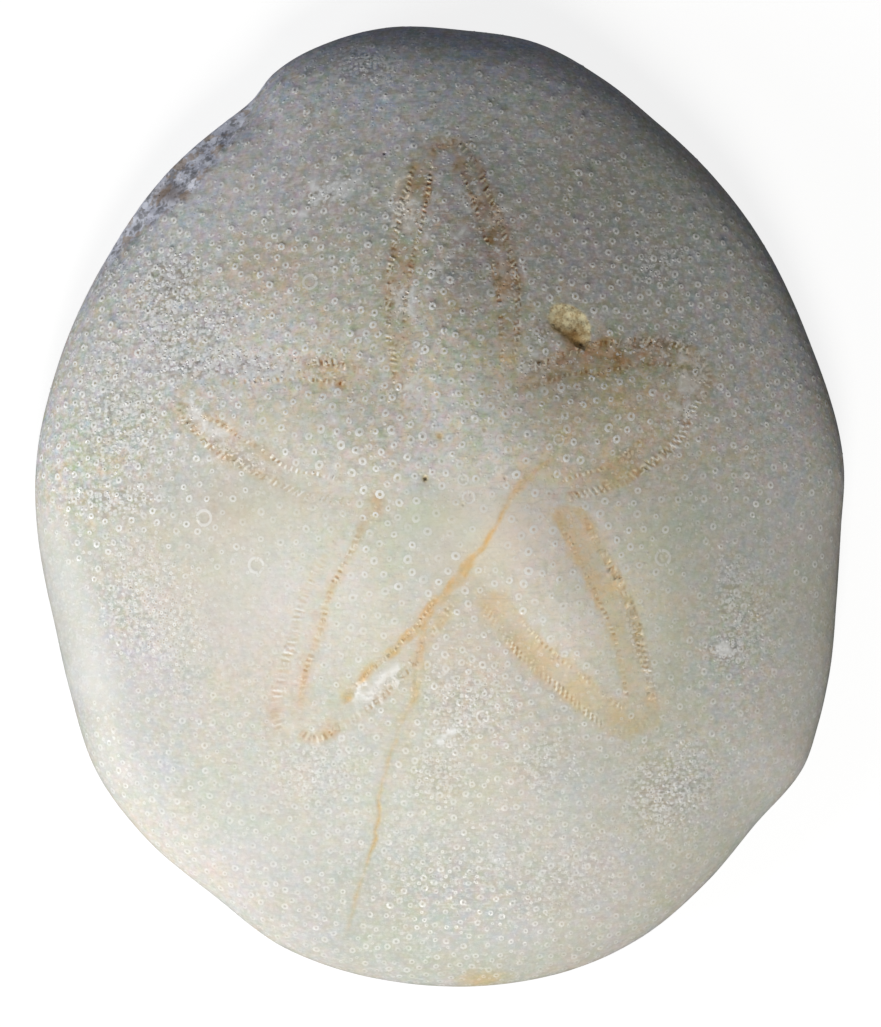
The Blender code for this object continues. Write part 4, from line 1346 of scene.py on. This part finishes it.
paint("marks_ring", ring / 2, ring_clear, ring_tint)
paint("marks_stain", ochre_m, brown_m, rust_m)
paint("marks_rib", rib * 0.5 + 0.5, dark_m, worn_m)
paint("marks_rough", chip_m, sediment, np.maximum(scuff_m, 0.45 * stipple_m))
# tone, whose cool part is painted skylight; painted shade of the broken rim's hollows; the stippled
# patch
paint("marks_tone", tone_m, hollow_shade, stipple_m)
paint("marks_hue",
      (1 + 0.07 * noise(xyz, 10.0, 51, 2) + 0.045 * noise(xyz, 2.6, 53)) * pink_m,
      (1 + 0.08 * noise(xyz, 9.0, 52, 2) + 0.06 * noise(xyz, 3.0, 54)) * blue_m,
      chalk_m)
# the middle channel holds the painted light and shade
paint("marks_band", band_m * upper, painted_shade_m, np.where(upper, busy_at(plan), 0.4))

skin = bpy.data.objects.new("test_skin", mesh)
bpy.context.scene.collection.objects.link(skin)
print("skin", len(points), "points", len(triangles), "triangles",
      RINGS_UP, "tubercles above", RINGS_SMALL, "small", RINGS_DOWN, "below")


# ================================================================= material
class Nodes:
    """Small helper that adds and links shader nodes."""

    def __init__(self, material):
        material.use_nodes = True
        self.tree = material.node_tree
        self.tree.nodes.clear()

    def add(self, kind, inputs=None, **settings):
        node = self.tree.nodes.new("ShaderNode" + kind)
        for key, value in settings.items():
            setattr(node, key, value)
        for key, value in (inputs or {}).items():
            self.put(node.inputs[key], value)
        return node

    def put(self, socket, value):
        if isinstance(value, bpy.types.NodeSocket):
            self.tree.links.new(value, socket)
        elif isinstance(value, bpy.types.Node):
            self.tree.links.new(value.outputs[0], socket)
        elif isinstance(value, (tuple, list)) and len(value) == 3 \
                and socket.type == 'RGBA':
            socket.default_value = (*value, 1.0)
        else:
            socket.default_value = value

    def math(self, operation, a, b=None, clamp=False):
        node = self.add("Math", operation=operation, use_clamp=clamp)
        self.put(node.inputs[0], a)
        if b is not None:
            self.put(node.inputs[1], b)
        return node.outputs[0]

    def mix(self, factor, a, b, blend='MIX'):
        node = self.add("Mix", data_type='RGBA', blend_type=blend)
        node.clamp_factor = True
        self.put(node.inputs[0], factor)
        self.put(node.inputs[6], a)
        self.put(node.inputs[7], b)
        return node.outputs[2]

    def range(self, value, low, high, to_low=0.0, to_high=1.0, smooth=True):
        node = self.add("MapRange", interpolation_type='SMOOTHSTEP' if smooth
                        else 'LINEAR', clamp=True)
        for key, v in (("Value", value), ("From Min", low), ("From Max", high),
                       ("To Min", to_low), ("To Max", to_high)):
            self.put(node.inputs[key], v)
        return node.outputs[0]

    def noise(self, coords, scale, detail=2.0, rough=0.5, distort=0.0):
        return self.add("TexNoise", {"Vector": coords, "Scale": scale,
                                     "Detail": detail, "Roughness": rough,
                                     "Distortion": distort}).outputs[0]

    def attribute(self, name):
        node = self.add("Attribute", attribute_name=name)
        split = self.add("SeparateColor", {"Color": node.outputs["Color"]})
        return split.outputs[0], split.outputs[1], split.outputs[2]


calcite = bpy.data.materials.new("weathered_calcite")
n = Nodes(calcite)
coords = n.add("TexCoord").outputs["Object"]
ring, clearness, tint = n.attribute("marks_ring")
ochre, brown, rust = n.attribute("marks_stain")
ribs, dark, worn = n.attribute("marks_rib")
chip, sediment, scuff = n.attribute("marks_rough")
band, shade, busy = n.attribute("marks_band")
pinker, bluer, chalk = n.attribute("marks_hue")
tone, hollow_shade, stipple = n.attribute("marks_tone")

big = n.noise(coords, 75.0, 2.0, 0.5)
mid = n.noise(coords, 430.0, 3.0, 0.6)
fine = n.noise(coords, 2300.0, 3.0, 0.7)
cells = n.add("TexVoronoi", {"Vector": coords, "Scale": 2100.0}, feature='F1')
granules = cells.outputs["Distance"]
pick = n.add("SeparateColor", {"Color": cells.outputs["Color"]}).outputs[0]
stretch = n.add("Mapping", {"Vector": coords, "Scale": (0.22, 1.0, 1.0)})
streaks = n.noise(stretch, 3300.0, 1.0, 0.5)

shards = n.noise(coords, 1500.0, 3.0, 0.65)


def hue(scale, detail, amount, at):
    """Pink to green and yellow to blue clouds."""
    moved = n.add("Mapping", {"Vector": coords, "Location": (at, -at, 0.01)})
    cloud = n.add("TexNoise", {"Vector": moved.outputs[0], "Scale": scale,
                               "Detail": detail, "Roughness": 0.55})
    split = n.add("SeparateColor", {"Color": cloud.outputs["Color"]})
    joined = n.add("CombineColor", {
        "Red": n.range(split.outputs[0], 0.3, 0.7, 1 - amount, 1 + amount, False),
        "Green": 1.0,
        "Blue": n.range(split.outputs[1], 0.3, 0.7, 1 - 1.25 * amount,
                        1 + 1.25 * amount, False)})
    return joined.outputs[0]


# clean calcite: warm cream with faint clouds; cooler to the rim, which is painted cool skylight on the
# sides turned from the lamps
colour = n.mix(n.range(big, 0.3, 0.7), (0.665, 0.655, 0.600), (0.680, 0.655, 0.580))
colour = n.mix(n.range(tone, 0.5, 0.0), colour, (1.03, 0.995, 0.925), 'MULTIPLY')
colour = n.mix(n.range(tone, 0.5, 1.0), colour, (0.94, 0.98, 1.14), 'MULTIPLY')
# broad soft painted light and shade, with some of the own tone
colour = n.mix(1.0, colour, shade, 'MULTIPLY')
colour = n.mix(1.0, colour, n.add("CombineColor", {
    "Red": pinker, "Green": 1.0, "Blue": bluer}).outputs[0], 'MULTIPLY')
colour = n.mix(n.range(busy, 0.10, 0.80, 0.12, 1.0, False), colour,
               hue(880.0, 1.5, 0.19, 0.3), 'MULTIPLY')
mottle = n.noise(coords, 1000.0, 2.0, 0.5)
colour = n.mix(n.range(busy, 0.10, 0.50, 0.5, 1.0), colour, n.mix(
    n.range(mottle, 0.35, 0.65), n.mix(1.0, colour, (0.955, 0.955, 0.96), 'MULTIPLY'),
    n.mix(1.0, colour, (1.035, 1.035, 1.03), 'MULTIPLY')))
cloudy = n.math('MULTIPLY', n.math('ADD', n.math('ADD', busy, scuff), 0.3), 0.17,
                clamp=True)
colour = n.mix(n.math('MULTIPLY', n.range(mid, 0.45, 0.7), cloudy), colour,
               (0.78, 0.77, 0.73))
colour = n.mix(n.math('MULTIPLY', n.range(mid, 0.5, 0.3), cloudy), colour,
               (0.52, 0.49, 0.43))
# fine speckle, stronger on the grainy patches
lively = n.math('ADD', n.math('MULTIPLY', busy, 1.45), 0.20)
grain = n.math('ADD', n.math('MULTIPLY', scuff, 0.75), 0.27)
grain = n.math('MULTIPLY', n.math('SUBTRACT', grain, n.math('MULTIPLY', band, 0.12)),
               lively, clamp=True)
colour = n.mix(n.math('MULTIPLY', n.range(fine, 0.52, 0.64), grain), colour,
               (0.93, 0.925, 0.905))
colour = n.mix(n.math('MULTIPLY', n.range(fine, 0.48, 0.36), grain), colour,
               (0.38, 0.355, 0.32))
# here and there a white fleck, painted near white so that it also stands in for a glint, and a dark
# pinprick
fleck_and_glint = n.math('MULTIPLY', n.range(granules, 0.36, 0.20), n.range(pick, 0.72, 0.80))
prick = n.math('MULTIPLY', n.range(granules, 0.30, 0.14), n.range(pick, 0.16, 0.10))
spotted = n.math('MULTIPLY', n.math('ADD', scuff, n.math('ADD', chalk, 0.30)), lively,
                 clamp=True)
colour = n.mix(n.math('MULTIPLY', fleck_and_glint, spotted), colour, (0.97, 0.965, 0.95))
colour = n.mix(n.math('MULTIPLY', prick, n.math('MULTIPLY', spotted, 0.8)), colour,
               (0.42, 0.36, 0.28))
# crowded low grains with pale rims and darker gaps
rims = n.math('MULTIPLY', n.range(granules, 0.10, 0.22), n.range(granules, 0.46, 0.34))
colour = n.mix(n.math('MULTIPLY', rims, n.math('ADD', n.math('MULTIPLY', grain, 0.55),
                                               n.math('MULTIPLY', scuff, 0.30))), colour,
               (0.92, 0.91, 0.88))
colour = n.mix(n.math('MULTIPLY', n.range(granules, 0.44, 0.60),
                      n.math('MULTIPLY', grain, 0.60)), colour, (0.78, 0.75, 0.70),
               'MULTIPLY')
stroke = n.math('MULTIPLY', lively, n.math('ADD', n.math('MULTIPLY', scuff, 0.45),
                                           0.34), clamp=True)
colour = n.mix(n.math('MULTIPLY', n.range(streaks, 0.56, 0.72), stroke), colour,
               (0.86, 0.855, 0.83))
colour = n.mix(n.math('MULTIPLY', n.range(streaks, 0.44, 0.28), stroke), colour,
               (0.45, 0.43, 0.39))

# chalky strokes with dark gaps
flaky = n.math('ADD', n.range(streaks, 0.50, 0.62), n.range(shards, 0.52, 0.62), clamp=True)
colour = n.mix(n.math('MULTIPLY', n.range(shards, 0.46, 0.36),
                      n.math('MULTIPLY', chalk, 0.35)), colour, (0.40, 0.38, 0.36))
colour = n.mix(n.math('MULTIPLY', flaky, n.math('MULTIPLY', chalk, 0.70)), colour,
               (0.93, 0.94, 0.97))
colour = n.mix(n.math('MULTIPLY', rims, n.math('MULTIPLY', chalk, 0.6)), colour,
               (0.96, 0.96, 0.97))
colour = n.mix(n.math('MULTIPLY', n.range(granules, 0.40, 0.54),
                      n.math('MULTIPLY', chalk, 0.75)), colour, (0.58, 0.56, 0.54),
               'MULTIPLY')

# smooth worn edge and flecks
colour = n.mix(n.math('MULTIPLY', worn, 0.88), colour, n.mix(
    n.range(worn, 0.5, 0.9), (0.82, 0.825, 0.805), (0.96, 0.965, 0.96)))

# stains soak into what is there
uneven = n.math('MULTIPLY', n.range(mid, 0.36, 0.62, 0.65, 1.3),
                n.range(shards, 0.38, 0.60, 0.85, 1.12))
uneven_brown = n.math('MULTIPLY', n.range(mid, 0.38, 0.60, 0.4, 1.45),
                      n.range(shards, 0.62, 0.40, 0.85, 1.15))
colour = n.mix(n.math('MULTIPLY', brown, uneven_brown), colour, (0.79, 0.565, 0.39),
               'MULTIPLY')
colour = n.mix(n.math('MULTIPLY', ochre, uneven), colour, (1.03, 0.885, 0.66),
               'MULTIPLY')
colour = n.mix(n.math('MULTIPLY', rust, uneven), colour, (1.0, 0.83, 0.60),
               'MULTIPLY')

# a few pale and dark fragments in the pore bands
loose = n.math('MULTIPLY', band, n.math('ADD', n.math(
    'MULTIPLY', n.math('MULTIPLY', busy, busy), 0.95), 0.16), clamp=True)
colour = n.mix(n.math('MULTIPLY', n.range(shards, 0.575, 0.66), loose), colour,
               (0.92, 0.915, 0.89))
colour = n.mix(n.math('MULTIPLY', n.range(shards, 0.42, 0.33), loose), colour,
               (0.74, 0.60, 0.46), 'MULTIPLY')

# ribs and pores of the petals
up_rib = n.range(ribs, 0.58, 0.92)
down_rib = n.range(ribs, 0.44, 0.1)
rib_colour = n.mix(n.range(n.math('ADD', ochre, brown), 0.15, 1.05), (0.98, 0.975, 0.94),
                   (0.93, 0.82, 0.58))
colour = n.mix(n.math('MULTIPLY', up_rib, n.math('MULTIPLY', clearness, 1.1)),
               colour, rib_colour)
colour = n.mix(n.math('MULTIPLY', down_rib, n.math('MULTIPLY', clearness, 1.1)),
               colour, n.mix(n.range(brown, 0.03, 0.45), (0.84, 0.73, 0.59),
                             (0.66, 0.47, 0.30)), 'MULTIPLY')

# tubercles: pale glassy wall, darker middle, faint dark foot
wall = n.math('MULTIPLY', n.range(ring, 0.08, 0.26), n.range(ring, 0.80, 0.62))
core = n.range(ring, 0.68, 0.84)
foot = n.math('MULTIPLY', n.range(ring, 0.005, 0.06), n.range(ring, 0.18, 0.08))
colour = n.mix(n.math('MULTIPLY', foot, n.math('MULTIPLY', clearness, 0.35)),
               colour, (0.80, 0.78, 0.75), 'MULTIPLY')
colour = n.mix(n.math('MULTIPLY', wall, n.math('MULTIPLY', clearness, 0.90)),
               colour, (0.96, 0.955, 0.925))
core_colour = n.mix(tint, (0.74, 0.73, 0.70), (0.88, 0.82, 0.74))
colour = n.mix(n.math('MULTIPLY', core, n.math('MULTIPLY', clearness, 0.95)),
               colour, core_colour, 'MULTIPLY')
# brown pinpoints of the stippled patch
pin = n.math('MULTIPLY', stipple, n.range(granules, 0.34, 0.1))
colour = n.mix(n.math('MULTIPLY', pin, 0.75), colour, (0.78, 0.66, 0.52), 'MULTIPLY')

# broken rim: grey to bluish white flakes with dark and brown matrix between; the flakes' bluish white,
# lighter and bluer than calcite, is partly painted light on a rim facing away from the main lamps
slabs = n.noise(coords, 820.0, 2.0, 0.5)
flake = n.math('ADD', n.math('MULTIPLY', slabs, 0.60), n.math('MULTIPLY', fine, 0.40))
matrix = n.mix(n.range(flake, 0.415, 0.535), (0.35, 0.345, 0.375), (0.97, 0.98, 1.09))
matrix = n.mix(n.range(mid, 0.51, 0.60, 0.0, 0.70), matrix, (0.50, 0.34, 0.20))
colour = n.mix(n.math('MULTIPLY', chip, 0.85), colour, matrix)
# painted shade, in dark brown, of the darkest hollows of the broken rim
colour = n.mix(n.math('MULTIPLY', hollow_shade, 0.75), colour, (0.20, 0.13, 0.09))
# sediment in the pit, the mouth and the vent
sand = n.mix(n.range(shards, 0.36, 0.60), (0.68, 0.52, 0.27), (1.06, 0.95, 0.61))
sand = n.mix(n.range(fine, 0.47, 0.36, 0.0, 0.55), sand, (0.42, 0.27, 0.12))
sand = n.mix(brown, sand, (0.52, 0.38, 0.24), 'MULTIPLY')
colour = n.mix(sediment, colour, sand)
# near black in the genital pores and the pinhole, and the painted shade in the pit
colour = n.mix(n.math('MULTIPLY', dark, 0.9), colour, (0.05, 0.035, 0.02))

roughness = n.range(fine, 0.3, 0.7, 0.38, 0.54)
rough_up = n.math('MAXIMUM', n.math('MAXIMUM', scuff, chip), sediment)
roughness = n.math('ADD', roughness, n.math('MULTIPLY', rough_up, 0.2), clamp=True)
facet = n.math('MULTIPLY', fleck_and_glint, spotted)
glassy = n.math('MULTIPLY', n.math('ADD', n.math('ADD', n.math('MULTIPLY', wall, clearness),
                                                 n.math('MULTIPLY', chalk, flaky)),
                                   facet), 0.24)
roughness = n.math('SUBTRACT', roughness, glassy, clamp=True)

relief = n.math('ADD', n.math('MULTIPLY', n.range(granules, 0.0, 0.6, 1.0, 0.0), 0.30),
                n.math('MULTIPLY', fine, 0.6))
relief = n.math('MULTIPLY', relief, n.math('ADD', n.math('ADD', n.math(
    'MULTIPLY', rough_up, 0.9), n.math('MULTIPLY', busy, 0.7)), 0.25))
relief = n.math('ADD', n.math('MULTIPLY', relief, 0.28), n.math('MULTIPLY', n.math(
    'SUBTRACT', facet, n.math('MULTIPLY', prick, spotted)), 0.60))
bumped = n.add("Bump", {"Strength": 1.0, "Distance": 0.0001, "Height": relief})

surface = n.add("BsdfPrincipled", {"Base Color": colour, "Roughness": roughness,
                                   "Normal": bumped.outputs[0]})
surface.inputs["Specular IOR Level"].default_value = 0.4
out = n.add("OutputMaterial", {"Surface": surface.outputs[0]})
mesh.materials.append(calcite)

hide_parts("test")
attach(skin, "root")

# ==================================================================== stage
floor_mesh = bpy.data.meshes.new("floor")
s = 1.5
floor_mesh.from_pydata([(-s, -s, 0), (s, -s, 0), (s, s, 0), (-s, s, 0)], [],
                       [(0, 1, 2, 3)])
floor = bpy.data.objects.new("floor", floor_mesh)
floor.location.z = -0.0001
bpy.context.scene.collection.objects.link(floor)
paper = bpy.data.materials.new("pale_paper")
m = Nodes(paper)
paper_bsdf = m.add("BsdfPrincipled", {"Base Color": (0.28, 0.28, 0.28),
                                      "Roughness": 0.9})
paper_bsdf.inputs["Emission Color"].default_value = (1, 1, 1, 1)
paper_bsdf.inputs["Emission Strength"].default_value = 0.84
paper_bsdf.inputs["Specular IOR Level"].default_value = 0.1
m.add("OutputMaterial", {"Surface": paper_bsdf.outputs[0]})
floor_mesh.materials.append(paper)
floor.visible_diffuse = False
floor.visible_glossy = False
# the same paper hangs round the floor, for low views
wall_mesh = bpy.data.meshes.new("backdrop")
wall_mesh.from_pydata([(x, y, z) for z in (0, s)
                       for x, y in ((-s, -s), (s, -s), (s, s), (-s, s))], [],
                      [(i, i + 4, (i + 1) % 4 + 4, (i + 1) % 4)
                       for i in range(4)])
wall = bpy.data.objects.new("backdrop", wall_mesh)
wall.location.z = -0.0001
bpy.context.scene.collection.objects.link(wall)
wall_mesh.materials.append(paper)
wall.visible_diffuse = False
wall.visible_glossy = False
wall.visible_shadow = False


def area(name, bearing, elevation, distance, size, power, colour):
    light = bpy.data.lights.new(name, 'AREA')
    light.shape = 'DISK'
    light.size = size
    light.energy = power
    light.color = colour
    obj = bpy.data.objects.new(name, light)
    b, e = math.radians(bearing), math.radians(elevation)
    obj.location = (distance * math.cos(b) * math.cos(e),
                    distance * math.sin(b) * math.cos(e),
                    distance * math.sin(e))
    obj.rotation_mode = 'QUATERNION'
    obj.rotation_quaternion = (-Vector(obj.location)).to_track_quat('-Z', 'Y')
    bpy.context.scene.collection.objects.link(obj)
    return obj


area("window_left", 200, 18, 0.40, 0.20, 1.03, (0.97, 0.99, 1.0))
area("sky_front_left", 115, 12, 0.50, 0.20, 0.07, (0.26, 0.42, 1.0))
area("window_front", 271, 42, 0.90, 0.42, 5.32, (1.0, 0.985, 0.94))

world = bpy.data.worlds.new("studio")
world.use_nodes = True
world.node_tree.nodes["Background"].inputs[0].default_value = (0.98, 1.0, 1.02, 1)
world.node_tree.nodes["Background"].inputs[1].default_value = 0.09
bpy.context.scene.world = world
bpy.context.scene.view_settings.view_transform = 'Standard'
bpy.context.scene.view_settings.look = 'None'

# =================================================================== camera
# straight down; the frame is 881 by 1027 with 0.1075 mm to a pixel at the rim
camera_data = bpy.data.cameras.new("camera")
camera = bpy.data.objects.new("camera", camera_data)
bpy.context.scene.collection.objects.link(camera)
camera_data.sensor_fit = 'AUTO'
camera_data.sensor_width = 36.0
distance = 0.60
long_side = 1027 * 0.1075 * MM
camera_data.lens = 36.0 * distance / long_side
camera.location = (0.5 * 0.1075 * MM, -6.0 * 0.1075 * MM,
                   distance + AMBITUS_Z * MM)
camera.rotation_euler = (0.0, 0.0, 0.0)
camera_data.clip_start, camera_data.clip_end = 0.01, 10.0
bpy.context.scene.camera = camera
